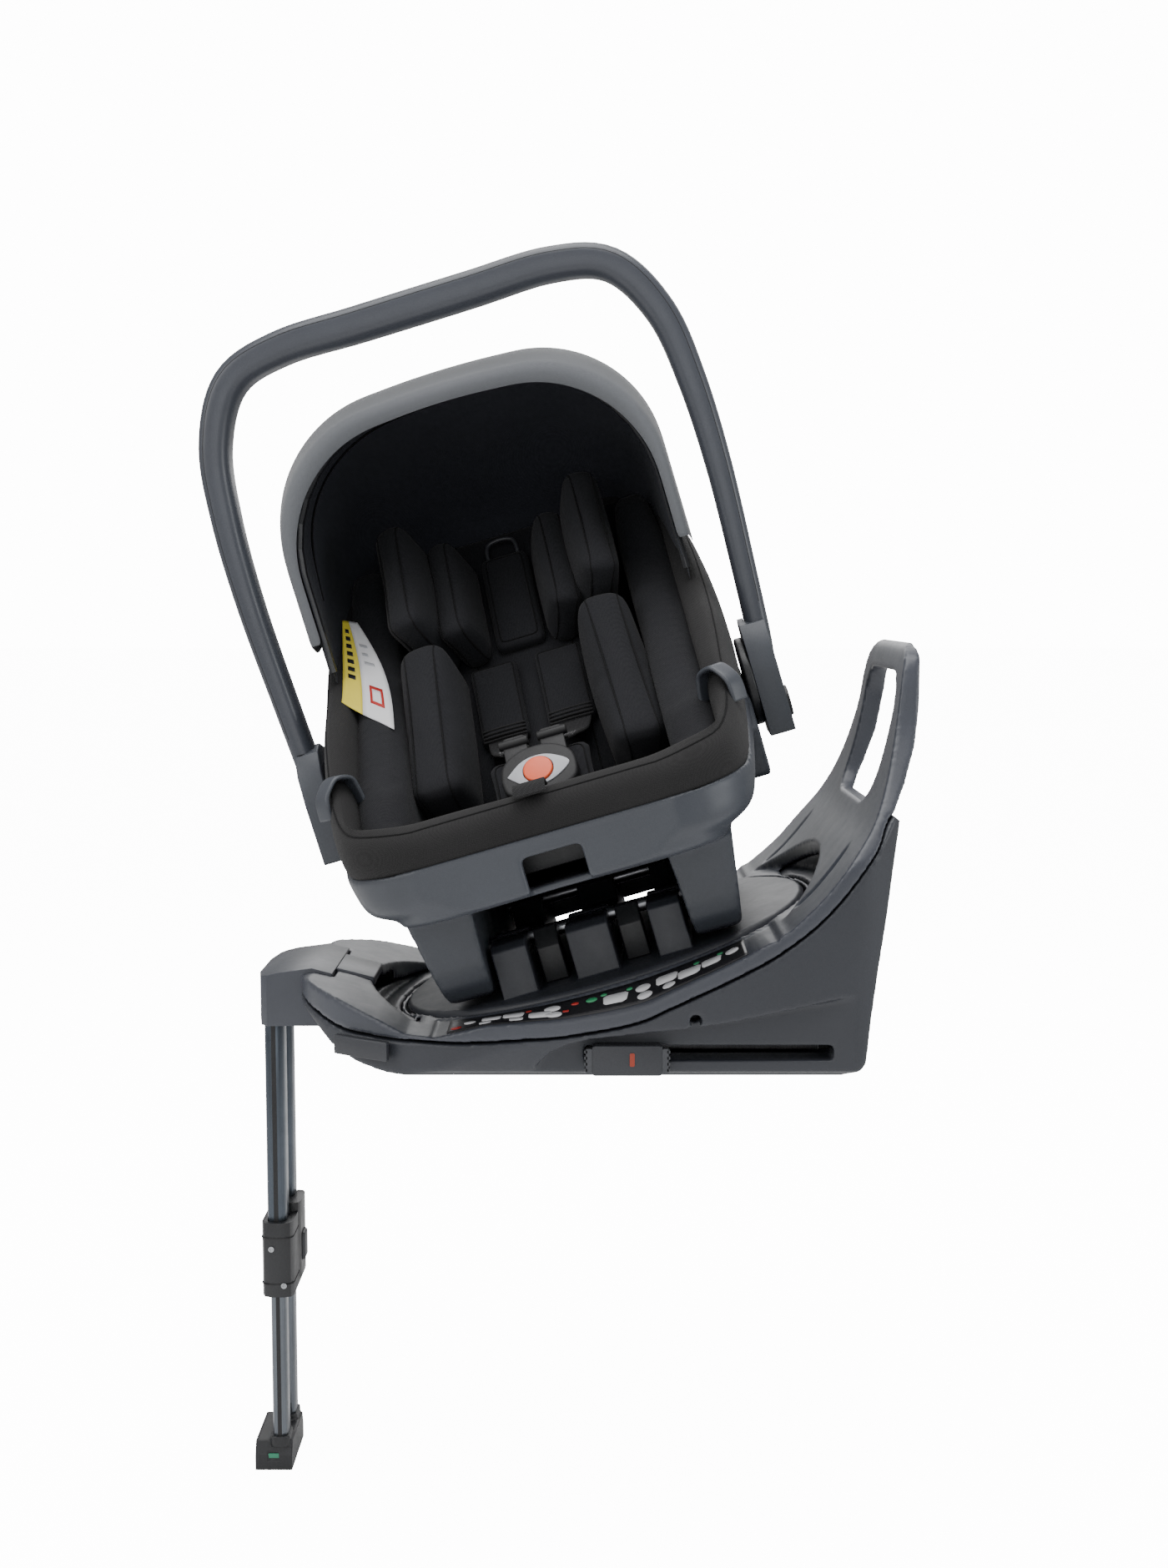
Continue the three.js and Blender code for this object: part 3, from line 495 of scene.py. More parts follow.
def roundRect(width, height, radius, u=0, v=0, steps=6):
    points = []
    for corner in range(4):
        sideU = 1 if corner in (0, 3) else -1
        sideV = 1 if corner < 2 else -1
        for step in range(steps + 1):
            angle = (corner + step / steps) * math.pi / 2
            points.append((u + sideU * (width / 2 - radius) + radius * math.cos(angle),
                           v + sideV * (height / 2 - radius) + radius * math.sin(angle)))
    return points


def onPlane(plane, u, v, w):
    return {"xy": (u, v, w), "xz": (u, w, v), "yz": (w, u, v)}[plane]


def plate(plane, outline, low, high):
    # A flat outline, extruded square to its plane.
    clearSelection()
    bpy.ops.mesh.primitive_circle_add(vertices=len(outline), fill_type="NGON")
    piece = bpy.context.object
    for vertex, (u, v) in zip(piece.data.vertices, outline):
        vertex.co = onPlane(plane, u, v, low)
    bpy.ops.object.mode_set(mode="EDIT")
    bpy.ops.mesh.select_all(action="SELECT")
    move = onPlane(plane, 0, 0, high - low)
    bpy.ops.mesh.extrude_region_move(TRANSFORM_OT_translate={"value": move})
    bpy.ops.mesh.select_all(action="SELECT")
    bpy.ops.mesh.normals_make_consistent(inside=False)
    bpy.ops.object.mode_set(mode="OBJECT")
    return piece


def block(xs, ys, zs):
    return plate("xy", [(xs[0], ys[0]), (xs[1], ys[0]), (xs[1], ys[1]), (xs[0], ys[1])], *zs)


def flank(side, near, far):
    # From near to far out on one side of the middle, low end first.
    return sorted((side * near, side * far))


def rounded(piece, width, segments, angle=50):
    return applied(piece, "BEVEL", width=width, segments=segments, limit_method="ANGLE",
                   angle_limit=math.radians(angle))


def solid(piece, thickness):
    # A sheet given its thickness, in the piece's own units.
    applied(piece, "SOLIDIFY", thickness=thickness, offset=0.0)
    return outward(piece)


def rod(axis, radius, low, high, centre=(0, 0), sides=64):
    outline = [(centre[0] + radius * math.cos(2 * math.pi * i / sides),
                centre[1] + radius * math.sin(2 * math.pi * i / sides)) for i in range(sides)]
    return plate({"x": "yz", "y": "xz", "z": "xy"}[axis], outline, low, high)


def drum(radius, low, high):
    # A cylinder about the turntable's leaning axis, in the base's frame.
    piece = rod("z", radius, low, high, sides=144)
    piece.data.transform(Matrix.Translation(tilt["centre"]) @ turned(tilt["lean"], "Y"))
    return piece


def skinned(rings, ends=True):
    # A closed skin through rings of equal point count.
    count = len(rings[0])
    points = [p for ring in rings for p in ring]
    faces = []
    for row in range(len(rings) - 1):
        for i in range(count):
            a, b = row * count + i, row * count + (i + 1) % count
            faces.append((a, b, b + count, a + count))
    if ends:
        faces.append(tuple(range(count))[::-1])
        faces.append(tuple(range((len(rings) - 1) * count, len(rings) * count)))
    return outward(meshPiece(points, faces))


def sheetGrid(rows):
    # An open sheet through rows of equal point count.
    count = len(rows[0])
    points = [p for row in rows for p in row]
    faces = [(r * count + i, r * count + i + 1, (r + 1) * count + i + 1, (r + 1) * count + i)
             for r in range(len(rows) - 1) for i in range(count - 1)]
    return meshPiece(points, faces)


def combine(piece, operation, *tools):
    for tool in tools:
        applied(piece, "BOOLEAN", operation=operation, solver="MANIFOLD", object=tool)
        bpy.data.objects.remove(tool)
    return piece


def cut(piece, *tools):
    return combine(piece, "DIFFERENCE", *tools)


def common(piece, *tools):
    return combine(piece, "INTERSECT", *tools)


def joined(piece, *others):
    hold(piece)
    for other in others:
        other.select_set(True)
    bpy.ops.object.join()
    return piece


def melted(piece, voxel, rounds):
    # One skin with soft moulded edges, kept under the limit of triangles.
    applied(piece, "REMESH", mode="VOXEL", voxel_size=voxel)
    applied(piece, "SMOOTH", factor=0.5, iterations=rounds)
    triangles = len(piece.data.polygons) * 2
    if triangles > mostTriangles:
        applied(piece, "DECIMATE", ratio=mostTriangles / triangles)
    return piece


def painted(piece, name, material, angle=None):
    piece.name = name
    piece.data.name = name
    piece.data.materials.clear()
    piece.data.materials.append(look[material])
    hold(piece)
    if angle:
        bpy.ops.object.shade_smooth_by_angle(angle=math.radians(angle))
    else:
        bpy.ops.object.shade_smooth()
    return piece


def settle(piece, name, place, body, material, nodes=(), angle=None):
    piece.data.transform(place @ shrink)
    painted(piece, name, material, angle)
    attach(piece, body)
    if nodes:
        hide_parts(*nodes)
    return piece


def dressed(node, material):
    # A CAD part shown as it is, in its own material.
    part = frame["nodes"][node]
    part.data.materials.clear()
    part.data.materials.append(look[material])


easing = {"weld": 0.00002, "flat": 1, "corner": 32, "shade": 40}     # metres, then degrees


def softened(node, material, bevel=1.2, segments=3):
    # A CAD part's copy with its corners eased.
    source = frame["nodes"][node]
    piece = bpy.data.objects.new(node + "Eased", source.data.copy())
    bpy.context.scene.collection.objects.link(piece)
    editAll(piece)
    bpy.ops.mesh.remove_doubles(threshold=easing["weld"])
    bpy.ops.mesh.dissolve_limited(angle_limit=math.radians(easing["flat"]))
    bpy.ops.object.mode_set(mode="OBJECT")
    applied(piece, "BEVEL", width=bevel * milli, segments=segments, limit_method="ANGLE",
            angle_limit=math.radians(easing["corner"]), use_clamp_overlap=True, miter_outer="MITER_ARC")
    painted(piece, node + "Eased", material, easing["shade"])
    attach(piece, source["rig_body"])
    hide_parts(node)


def tube(points, radius, sides=8):
    # A round line through the points, closed if the ends meet.
    curve = bpy.data.curves.new("line", "CURVE")
    curve.dimensions = "3D"
    curve.bevel_depth = radius
    curve.bevel_resolution = max(1, sides // 4)
    curve.use_fill_caps = True
    closed = (Vector(points[0]) - Vector(points[-1])).length < 1e-6
    kept = points[:-1] if closed else points
    line = curve.splines.new("POLY")
    line.points.add(len(kept) - 1)
    line.use_cyclic_u = closed
    for spot, point in zip(line.points, kept):
        spot.co = (*point, 1)
    piece = bpy.data.objects.new("line", curve)
    bpy.context.scene.collection.objects.link(piece)
    hold(piece)
    bpy.ops.object.convert(target="MESH")
    return bpy.context.object


def surfaceOf(piece):
    return BVHTree.FromPolygons([v.co.copy() for v in piece.data.vertices],
                                [tuple(p.vertices) for p in piece.data.polygons])


def laidOn(tree, points, lift):
    # The nearest spots on a finished piece, in metres, lifted off it.
    out = []
    for point in points:
        spot, normal, _, _ = tree.find_nearest(Vector(point))
        out.append(tuple(spot + normal * lift))
    return out


def stitched(name, host, place, points, body, radius=0.0007, lift=0.0001, material="seamCloth"):
    # A seam that lies on the host's surface.
    spots = laidOn(surfaceOf(host), [place @ (Vector(p) * milli) for p in points], lift)
    piece = painted(tube(spots, radius, 6), name, material)
    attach(piece, body)


strap = {"fine": 60, "sections": 40, "edge": 0.5}


def ribbon(points, width, thickness, across, taper=1.0):
    # A flat strap along a smooth route; across is the direction of its width.
    line = evenly(spline(points, strap["fine"]), strap["sections"])
    rings = []
    for i, point in enumerate(line):
        share = i / (len(line) - 1)
        ahead = (Vector(line[min(i + 1, len(line) - 1)]) - Vector(line[max(i - 1, 0)])).normalized()
        flat = (Vector(across) - ahead * ahead.dot(Vector(across))).normalized()
        up = flat.cross(ahead)
        half = width * (1 + (taper - 1) * share) / 2
        inner = half - strap["edge"]
        section = [(-half, 0), (-inner, thickness / 2), (inner, thickness / 2), (half, 0),
                   (inner, -thickness / 2), (-inner, -thickness / 2)]
        rings.append([tuple(Vector(point) + flat * u + up * v) for u, v in section])
    return skinned(rings)


addCamera()
addLamps()
addFloor()
print("camera and lights stand")


# base: top cover with the light band and the rebound bar
baseShape = {
    "planHalf": [(-252, 0), (-249, 62), (-236, 104), (-205, 143), (-160, 174), (-100, 198), (-20, 211), (60, 213),
                 (130, 208), (190, 198), (240, 182), (270, 142), (286, 90), (289, 0)],
    "seam": [(-252, 48), (-208, 32), (-175, 29), (-107, 30), (-50, 35), (-12, 39), (42, 50), (72, 63), (125, 87),
             (162, 107), (200, 137), (237, 183), (255, 214), (300, 226)],
    "frontHalf": [(-20, 176), (0, 180), (8, 193), (28, 206), (60, 215), (110, 214), (160, 198), (200, 174),
                  (240, 145), (285, 119), (320, 110), (342, 98), (354, 68)],
    "top": [(283, 353), (275, 349), (269, 328), (263, 288), (252, 243), (238, 208), (219, 180), (194, 149),
            (166, 123)],
    "back": [(266, 238), (277, 268), (284, 305), (286, 338)],
    "nose": [(-146, 34), (-172, 44), (-205, 55), (-238, 63), (-252, 60)],
    "rear": [(212, 0), (224, 3), (231, 11), (235, 48), (241, 90), (248, 131), (254, 172), (260, 208)],
    "bowl": 189.5, "bowlFloor": -16, "slot": (168, 114, 28, 271), "voxel": 2.0, "rounds": 4, "rimDrop": 5,
}
planHalf = spline(baseShape["planHalf"], 120)
seamLine = spline(baseShape["seam"], 90)
discSlope = math.tan(math.radians(-tilt["lean"]))


def rimHeight(x):
    return tilt["centre"][2] - baseShape["rimDrop"] + discSlope * (x - tilt["centre"][0])


def planAt(x):
    return valueAt(planHalf, x)


def seamAt(x):
    return valueAt(seamLine, x)


def discEdge(x, radius):
    # How far out the turntable's hole reaches at x.
    along = (x - tilt["centre"][0]) / math.cos(math.radians(tilt["lean"]))
    return math.sqrt(max(radius * radius - along * along, 0))


def shellBlank(profile):
    front = [(y, z) for z, y in spline(baseShape["frontHalf"], 80)]
    frontOutline = front + [(-y, z) for y, z in reversed(front)]
    return common(plate("xz", profile, -222, 222), plate("xy", mirroredOutline(planHalf), -30, 380),
                  plate("yz", frontOutline, -300, 300))


stripFace = {"start": -126, "rise": 26, "end": 158, "fall": 30, "steps": 40, "over": 14, "lift": 0.05, "clear": 12}


def stripFade(x):
    rise = max(0.0, min(1.0, (x - stripFace["start"]) / stripFace["rise"]))
    fall = max(0.0, min(1.0, (stripFace["end"] - x) / stripFace["fall"]))
    return (rise * rise * (3 - 2 * rise)) * (fall * fall * (3 - 2 * fall))


def stripEdges(x):
    # Inner and outer edge of the sloping face that carries the strip, near side: (y, z) each.
    inner = (discEdge(x, baseShape["bowl"] + 2), rimHeight(x))
    outerZ = rimHeight(x) - stripFade(x) * max(0.0, rimHeight(x) - seamAt(x) - 14)
    return inner, (planAt(x) - 1.5, outerZ)


def stripWedge(side):
    rings = []
    over, clear = stripFace["over"], stripFace["clear"]
    for step in range(stripFace["steps"] + 1):
        x = stripFace["start"] + step * (stripFace["end"] - stripFace["start"]) / stripFace["steps"]
        (innerY, innerZ), (outerY, outerZ) = stripEdges(x)
        fall = (outerZ - innerZ) / max(outerY - innerY, 1)
        farY = outerY + over
        farZ = min(outerZ + fall * over, innerZ + clear / 2)
        rings.append([(x, side * innerY, innerZ + stripFace["lift"]), (x, side * innerY, innerZ + clear),
                      (x, side * farY, innerZ + clear), (x, side * farY, farZ)])
    return skinned(rings)


coverShape = {
    "gap": 1.0, "end": 258, "rimAt": (140, 0, -120), "slotCut": (190, 300), "bowlTop": 120, "step": (211, -1, 70),
    "legHollow": ((-232, -180), (-120, 120), (0, 40)), "housingBay": ((-320, -221.5), (-62.3, 62.3), (-30, 90)),
    "buttonBay": ((-223.0, -187.0), (-35.0, 35.0), (39.0, 90)), "cupWall": (193, -20, -3), "cupInside": 5,
    # finger recess: x, z and share of its full radius at each ring; its place across and its taper
    "recess": ((176, 133, 0.3), (180, 137, 0.8), (188, 144, 1.0), (200, 157, 1.0), (212, 171, 1.0),
               (220, 182, 0.8), (224, 187, 0.3)),
    "recessY": 139, "recessTaper": 2, "recessRadius": 5.2, "recessSides": 16,
}


def fingerRecess(side):
    # Long finger recess low on the bar's inner face.
    sides, radius = coverShape["recessSides"], coverShape["recessRadius"]
    rings = []
    for k, (x, z, share) in enumerate(coverShape["recess"]):
        y = side * (coverShape["recessY"] - coverShape["recessTaper"] * k)
        turns = [2 * math.pi * i / sides for i in range(sides)]
        rings.append([(x, y + radius * math.cos(a) * share, z + radius * math.sin(a) * share) for a in turns])
    return skinned(rings)


def buildTopCover():
    seam = [(x, z + coverShape["gap"]) for x, z in seamLine if x < coverShape["end"]]
    rimLine = [(x, rimHeight(x)) for x in coverShape["rimAt"]]
    profile = seam + baseShape["back"] + spline(baseShape["top"], 60) + rimLine + baseShape["nose"]
    width, height, corner, centreZ = baseShape["slot"]
    handSlot = plate("yz", roundRect(width, height, corner, 0, centreZ), *coverShape["slotCut"])
    bowl = drum(baseShape["bowl"], baseShape["bowlFloor"], coverShape["bowlTop"])
    cover = cut(shellBlank(profile), handSlot, block(*coverShape["legHollow"]), block(*coverShape["housingBay"]),
                bowl, drum(*coverShape["step"]), block(*coverShape["buttonBay"]), stripWedge(1), stripWedge(-1))
    for side in (1, -1):
        cut(cover, fingerRecess(side))
    inside = drum(baseShape["bowl"], baseShape["bowlFloor"], coverShape["cupInside"])
    cover = joined(cover, cut(drum(*coverShape["cupWall"]), inside))
    melted(cover, baseShape["voxel"], baseShape["rounds"])
    return settle(cover, "topCover", ground, "base", "coverPlastic", ["base_upper_shell"])


trayShape = {
    "gap": 1.0, "end": 256, "front": [(-252, 42), (-236, 34), (-214, 16), (-190, 5), (-165, 0)],
    "pocket": [(-43, -20), (-43, 2), (-38, 14), (-28, 25), (-14, 32), (7, 37), (116, 50), (236, 71), (300, 71),
               (300, -20)],
    "pocketSpan": (190, 230), "cup": (194, -21, 260), "step": (214, -1, 70),
    "legChannel": [(-300, 56), (-268, 56), (-152, -2), (-152, -30), (-300, -30)], "channelHalf": 44,
    "tieBay": ((-38, 128), (-143, 143), (7.5, 40.5)),
    # each side: the arm's bay, the slider's slot and a round hole in the wall, with their spans across
    "armBay": ((-40, 300), (120, 160), (9, 39)), "sliderSlot": ((0, 204), (150, 196), (15, 27)),
    "hole": {"radius": 5, "span": (180, 230), "at": (90, 52), "sides": 24},
}


def sidePocket(side):
    return plate("xz", trayShape["pocket"], *flank(side, *trayShape["pocketSpan"]))


def buildTray():
    seam = [(x, z - trayShape["gap"]) for x, z in seamLine if x < trayShape["end"]]
    outer = trayShape["front"] + baseShape["rear"] + seam[::-1]
    tray = cut(shellBlank(outer), sidePocket(1), sidePocket(-1))
    half = trayShape["channelHalf"]
    cut(tray, plate("xz", trayShape["legChannel"], -half, half), block(*coverShape["housingBay"]),
        drum(*trayShape["cup"]), drum(*trayShape["step"]), block(*trayShape["tieBay"]))
    hole = trayShape["hole"]
    for side in (1, -1):
        for xs, ys, zs in (trayShape["armBay"], trayShape["sliderSlot"]):
            cut(tray, block(xs, flank(side, *ys), zs))
        cut(tray, rod("y", hole["radius"], *flank(side, *hole["span"]), hole["at"], hole["sides"]))
    melted(tray, baseShape["voxel"], baseShape["rounds"])
    settle(tray, "tray", ground, "base", "trayPlastic", ["base_lower_shell"])


topCover = buildTopCover()
buildTray()
print("base shells moulded")

# the sign-free instruction strip and its plain marks
strip = {
    "from": -112, "to": 132, "low": 0.10, "high": 0.92, "lift": 0.35, "across": 80, "down": 6, "stretch": 6.2,
    "thick": 0.0004, "markThick": 0.0002, "discSize": 1.3, "discLift": 0.35, "squareSize": 1.4, "squareLift": 0.38,
}


def stripPoint(u, v):
    x = strip["from"] + (strip["to"] - strip["from"]) * u
    (innerY, innerZ), (outerY, outerZ) = stripEdges(x)
    share = strip["low"] + (strip["high"] - strip["low"]) * v
    return (x, -(innerY + (outerY - innerY) * share), innerZ + (outerZ - innerZ) * share)


def markOn(tree, outline, lift):
    # A flat shape on the strip: outline in (u, v) with v down the slope.
    centre = (sum(u for u, v in outline) / len(outline), sum(v for u, v in outline) / len(outline))
    points = [ground @ (Vector(stripPoint(*centre)) * milli)]
    points += [ground @ (Vector(stripPoint(u, v)) * milli) for u, v in outline]
    laid = laidOn(tree, points, lift * milli)
    count = len(outline)
    faces = [(0, 1 + i, 1 + (i + 1) % count) for i in range(count)]
    return meshPiece(laid, faces)


def circleMark(u, v, radius, sides=18):
    turns = [2 * math.pi * i / sides for i in range(sides)]
    return [(u + radius * math.cos(a) / strip["stretch"], v + radius * math.sin(a)) for a in turns]


def squareMark(u, v, half):
    # A rounded, slightly slanted square, a little wider than tall.
    corners = [(-1, -0.7), (-0.7, -1), (0.75, -0.9), (1, -0.55), (0.85, 0.7), (0.5, 1), (-0.8, 0.9), (-1, 0.6)]
    return [(u + half * x * 1.15 / strip["stretch"], v + half * y) for x, y in corners]


marks = {
    # material, disc marks (u, v, radius), rounded squares (u, v, half-size)
    "markWhite": ("patchWhite",
                  [(0.075, 0.45, 0.10), (0.355, 0.34, 0.13), (0.36, 0.72, 0.13), (0.655, 0.38, 0.12),
                   (0.66, 0.72, 0.12), (0.74, 0.72, 0.10), (0.955, 0.38, 0.11)],
                  [(0.15, 0.42, 0.13), (0.225, 0.40, 0.14), (0.235, 0.76, 0.09), (0.315, 0.62, 0.15),
                   (0.565, 0.50, 0.16), (0.735, 0.36, 0.14), (0.81, 0.50, 0.15), (0.885, 0.44, 0.13),
                   (0.13, 0.76, 0.08)]),
    "markRed": ("markRed", [(0.03, 0.72, 0.09), (0.275, 0.25, 0.05), (0.43, 0.30, 0.06)], [(0.40, 0.62, 0.04)]),
    "markGreen": ("markGreen", [(0.485, 0.30, 0.09), (0.525, 0.20, 0.05), (0.61, 0.24, 0.05), (0.835, 0.20, 0.05),
                                (0.915, 0.22, 0.05)], []),
}


def buildStrip():
    tree = surfaceOf(topCover)
    across, down, lift = strip["across"], strip["down"], strip["lift"]
    rows = [[ground @ (Vector(stripPoint(u / across, v / down)) * milli) for u in range(across + 1)]
            for v in range(down + 1)]
    piece = solid(sheetGrid([laidOn(tree, row, lift * milli) for row in rows]), strip["thick"])
    piece.data.transform(grow)
    settle(piece, "plainStrip", ground, "base", "patchBlack")
    for name, (material, discs, squares) in marks.items():
        shapes = [markOn(tree, circleMark(u, v, size * strip["discSize"]), lift + strip["discLift"])
                  for u, v, size in discs]
        shapes += [markOn(tree, squareMark(u, v, size * strip["squareSize"]), lift + strip["squareLift"])
                   for u, v, size in squares]
        piece = solid(joined(*shapes), strip["markThick"])
        piece.data.transform(grow)
        settle(piece, name, ground, "base", material)


buildStrip()

# base: small parts
softened("leg_housing", "coverPlastic", 3.0, 4)
softened("front_release_button", "coverPlastic", 1.2)
softened("side_release_lever", "blockPlastic", 1.0)
softened("turntable_disc", "trayPlastic", 1.6, 3)
for hand in ("left", "right"):
    softened(f"dock_latch_{hand}", "blackPlastic", 1.2)
softened("bearing_ring", "blackPlastic", 0.8)
softened("isofix_frame", "steelMetal", 1.2)
for end in ("near", "far"):
    softened(f"isofix_claw_{end}", "blackPlastic", 0.8)
    softened(f"slider_block_{end}", "blockPlastic", 1.0)

sliderTrim = {
    "x": 35, "y": 203.2, "z": 17.5, "sunk": 0.2, "proud": 0.5, "window": (4, 11, 1.2), "depth": 6,
    "tab": (5, 20, 1.2), "reach": 31, "tooth": (2.4, 2.6, 0.8), "toothOut": 2.6, "toothLow": -7.5, "toothStep": 5,
}


def buildSliderTrim(end, side):
    x, y, z = sliderTrim["x"], sliderTrim["y"], sliderTrim["z"]
    window = plate("xz", roundRect(*sliderTrim["window"], x + 4, z + 1),
                   *flank(side, y - sliderTrim["sunk"], y + sliderTrim["proud"]))
    settle(window, f"sliderWindow_{end}", ground, "isofix", "windowRed", angle=30)
    span = flank(side, y - sliderTrim["depth"], y)
    tabs = []
    for way in (-1, 1):
        spot = x + way * sliderTrim["reach"]
        tabs.append(plate("xz", roundRect(*sliderTrim["tab"], spot, z), *span))
        for k in range(4):
            height = z + sliderTrim["toothLow"] + sliderTrim["toothStep"] * k
            outline = roundRect(*sliderTrim["tooth"], spot + way * sliderTrim["toothOut"], height)
            tabs.append(plate("xz", outline, *span))
    settle(joined(*tabs), f"sliderGrip_{end}", ground, "isofix", "blockPlastic", angle=30)


buildSliderTrim("near", -1)
buildSliderTrim("far", 1)
print("base fittings placed")

# load leg
legShape = {
    "x": -279, "tubes": (-23.5, 23.5), "grooveHalfThick": 0.12,
    # body, piece, low, high, reach from the tube's middle, half-width
    "grooves": (("leg", "grooveUpper", -234, 12, 13.05, 2.0), ("leg_lower", "grooveLower", -378, -62, 11.45, 1.8)),
    "screws": ((-283, -196), (-272, -230)), "screwRadius": 2.6, "screwSpan": (-43.0, -41.6),
    "slotSpan": (-43.4, -42.4), "slotLong": 1.8, "slotThin": 0.4,
    "lines": (-186, -229), "lineLoop": (28.9, 84.4, 8),
}
softened("leg_knuckle", "blackPlastic", 0.8)
for end in ("near", "far"):
    softened(f"upper_tube_{end}", "tubeMetal", 0.5, 2)
    softened(f"lower_tube_{end}", "innerTubeMetal", 0.5, 2)
softened("leg_collar", "blackPlastic", 2.0, 4)
softened("collar_button", "blockPlastic", 0.8)


def buildLegDetails():
    # tube grooves: thin dark strips along the tubes' narrow faces, painted shade standing in for the shadow in
    # each groove
    thin = legShape["grooveHalfThick"]
    for body, name, low, high, reach, half in legShape["grooves"]:
        strips = []
        for y in legShape["tubes"]:
            for side in (-1, 1):
                face = y + side * reach
                strips.append(block((legShape["x"] - half, legShape["x"] + half), (face - thin, face + thin),
                                    (low, high)))
        settle(joined(*strips), name, ground, body, "darkPlasticAndGrooveShade", angle=30)
    # screws with a cross slot on the collar's near face
    longSlot, thinSlot = legShape["slotLong"], legShape["slotThin"]
    screws = []
    for x, z in legShape["screws"]:
        screw = rod("y", legShape["screwRadius"], *legShape["screwSpan"], (x, z), 24)
        for wide, tall in ((thinSlot, longSlot), (longSlot, thinSlot)):
            cut(screw, block((x - wide, x + wide), legShape["slotSpan"], (z - tall, z + tall)))
        screws.append(screw)
    settle(joined(*screws), "collarScrews", ground, "leg", "steelMetal", angle=30)
    # parting lines round the collar
    loop = closedLoop(roundRect(*legShape["lineLoop"], legShape["x"] + 1, 0))
    lines = [tube([(x, y, z) for x, y in loop], 0.5, 6) for z in legShape["lines"]]
    settle(joined(*lines), "collarLines", ground, "leg", "darkPlasticAndGrooveShade")


def buildFoot():
    body = plate("yz", [(-36, -407), (36, -407), (36, -393), (31, -380.4), (-31, -380.4), (-36, -393)], -302, -268)
    socket = [plate("xy", roundRect(17.5, 27, 5, legShape["x"], y), -385, -375) for y in legShape["tubes"]]
    joined(body, *socket)
    applied(body, "REMESH", mode="VOXEL", voxel_size=1.0)
    cut(body, block((-291, -279), (-50, -33.5), (-399, -389)))
    applied(body, "SMOOTH", factor=0.5, iterations=3)
    settle(body, "footBody", ground, "leg_lower", "blackPlastic", ["leg_foot"])
    bar = plate("xz", roundRect(10.5, 4.2, 1.0, -285, -394), -34.6, -33.2)
    settle(bar, "footWindow", ground, "leg_lower", "windowGreen", angle=30)
    sole = plate("xy", roundRect(31, 70, 4, -285, 0), -407.2, -403)
    settle(sole, "footSole", ground, "leg_lower", "darkPlasticAndGrooveShade", angle=30)


buildLegDetails()
buildFoot()
print("load leg built")

# carrier shell
stations = [
    # y, half-width at the top, at the bottom, bottom height, height of the cover's edge, cover top
    (-259, 104, 92, 97, 139, 172), (-247, 133, 120, 93, 139, 176), (-225, 156, 137, 90, 140, 181),
    (-190, 169, 144, 87, 142, 196), (-150, 175, 147, 85, 151, 221), (-75, 182, 150, 84, 175, 258),
    (0, 185, 150, 84, 205, 287), (75, 184, 146, 88, 240, 326), (150, 177, 136, 112, 275, 364),
    (225, 160, 115, 160, 305, 397), (290, 124, 84, 222, 330, 404), (330, 72, 44, 282, 345, 380),
]
stationCurve = spline(stations, 88)
shellShape = {"wall": 6, "voxel": 2.3, "notch": (-22, 26), "barRadius": 6.4}


def bucketRing(station, lift, inset):
    y, top, bottom, low, high, _ = station
    wide, narrow, floor = top - inset, bottom - inset, low + inset
    high = high + lift
    half = spline([(0, floor), (narrow - 22, floor), (narrow - 4, floor + 9),
                   ((wide + narrow) / 2 + 5, floor + (high - floor) * 0.40), (wide, floor + (high - floor) * 0.82),
                   (wide, high)], 20)
    right = [(x, y, z) for x, z in half]
    return right + [(-x, y, z) for x, y, z in right[::-1] if x != 0]


def runner(side):
    leftLeg = [(-84, 84), (-88, 8), (-94, 5), (-124, 5), (-128, 10), (-141, 92), (-84, 96)]
    outline = leftLeg if side < 0 else [(-x, z) for x, z in leftLeg[::-1]]
    rocker = [(-168, 96), (-163, 40), (-158, 22), (-148, 10), (-132, 5), (70, 5), (115, 14), (150, 40), (165, 120),
              (-160, 120)]
    return common(plate("xz", outline, -170, 170), plate("yz", rocker, -150, 150))


def buildCarrierShell():
    shell = skinned([bucketRing(s, 0, 0) for s in stationCurve])
    lobe = [(-40, 178), (-44, 150), (-36, 108), (36, 108), (44, 150), (40, 204), (-20, 191)]
    combine(shell, "UNION", runner(-1), runner(1), plate("yz", lobe, 150, 188), plate("yz", lobe, -188, -150))
    inner = skinned([bucketRing(s, 60, shellShape["wall"]) for s in stationCurve if -250 < s[0] < 305])
    cut(shell, inner, block(shellShape["notch"], (-280, -240), (80, 124)))
    for y in (-95, 95):
        cut(shell, rod("x", shellShape["barRadius"], -104, 104, (y, 38), 32))
    for side in (-1, 1):
        # cooling slots on the runner's outer face
        for k in range(5):
            x = 128 + 2.4 * k
            z = 20 + 11 * k
            cut(shell, block(flank(side, x, x + 30), (-140, -112 - 3 * k), (z, z + 5)))
    melted(shell, shellShape["voxel"], 6)
    settle(shell, "carrierShell", docked, "carrier", "carrierPlastic", ["carrier_shell"])


buildCarrierShell()
apron = {"x": 90, "y": (153, 160), "z": (8, 120)}


def buildApron():
    # Rear wall of the docking bay.
    wall = block((-apron["x"], apron["x"]), apron["y"], apron["z"])
    applied(wall, "BEVEL", width=1.5, segments=2)
    settle(wall, "bayWall", docked, "carrier", "carrierPlastic", angle=40)


buildApron()
for end in ("front", "rear"):
    softened(f"lock_bar_{end}", "steelMetal", 0.6)
print("carrier shell moulded")


# fabric cover over the shell's edge
coverEdge = {
    "well": [(-226, 0), (-225, 100), (-216, 142), (-195, 151), (-100, 152), (150, 152), (210, 142), (252, 104),
             (266, 50), (268, 0)],
    "spokes": 200, "centreY": 20, "seamEnd": 120,
}


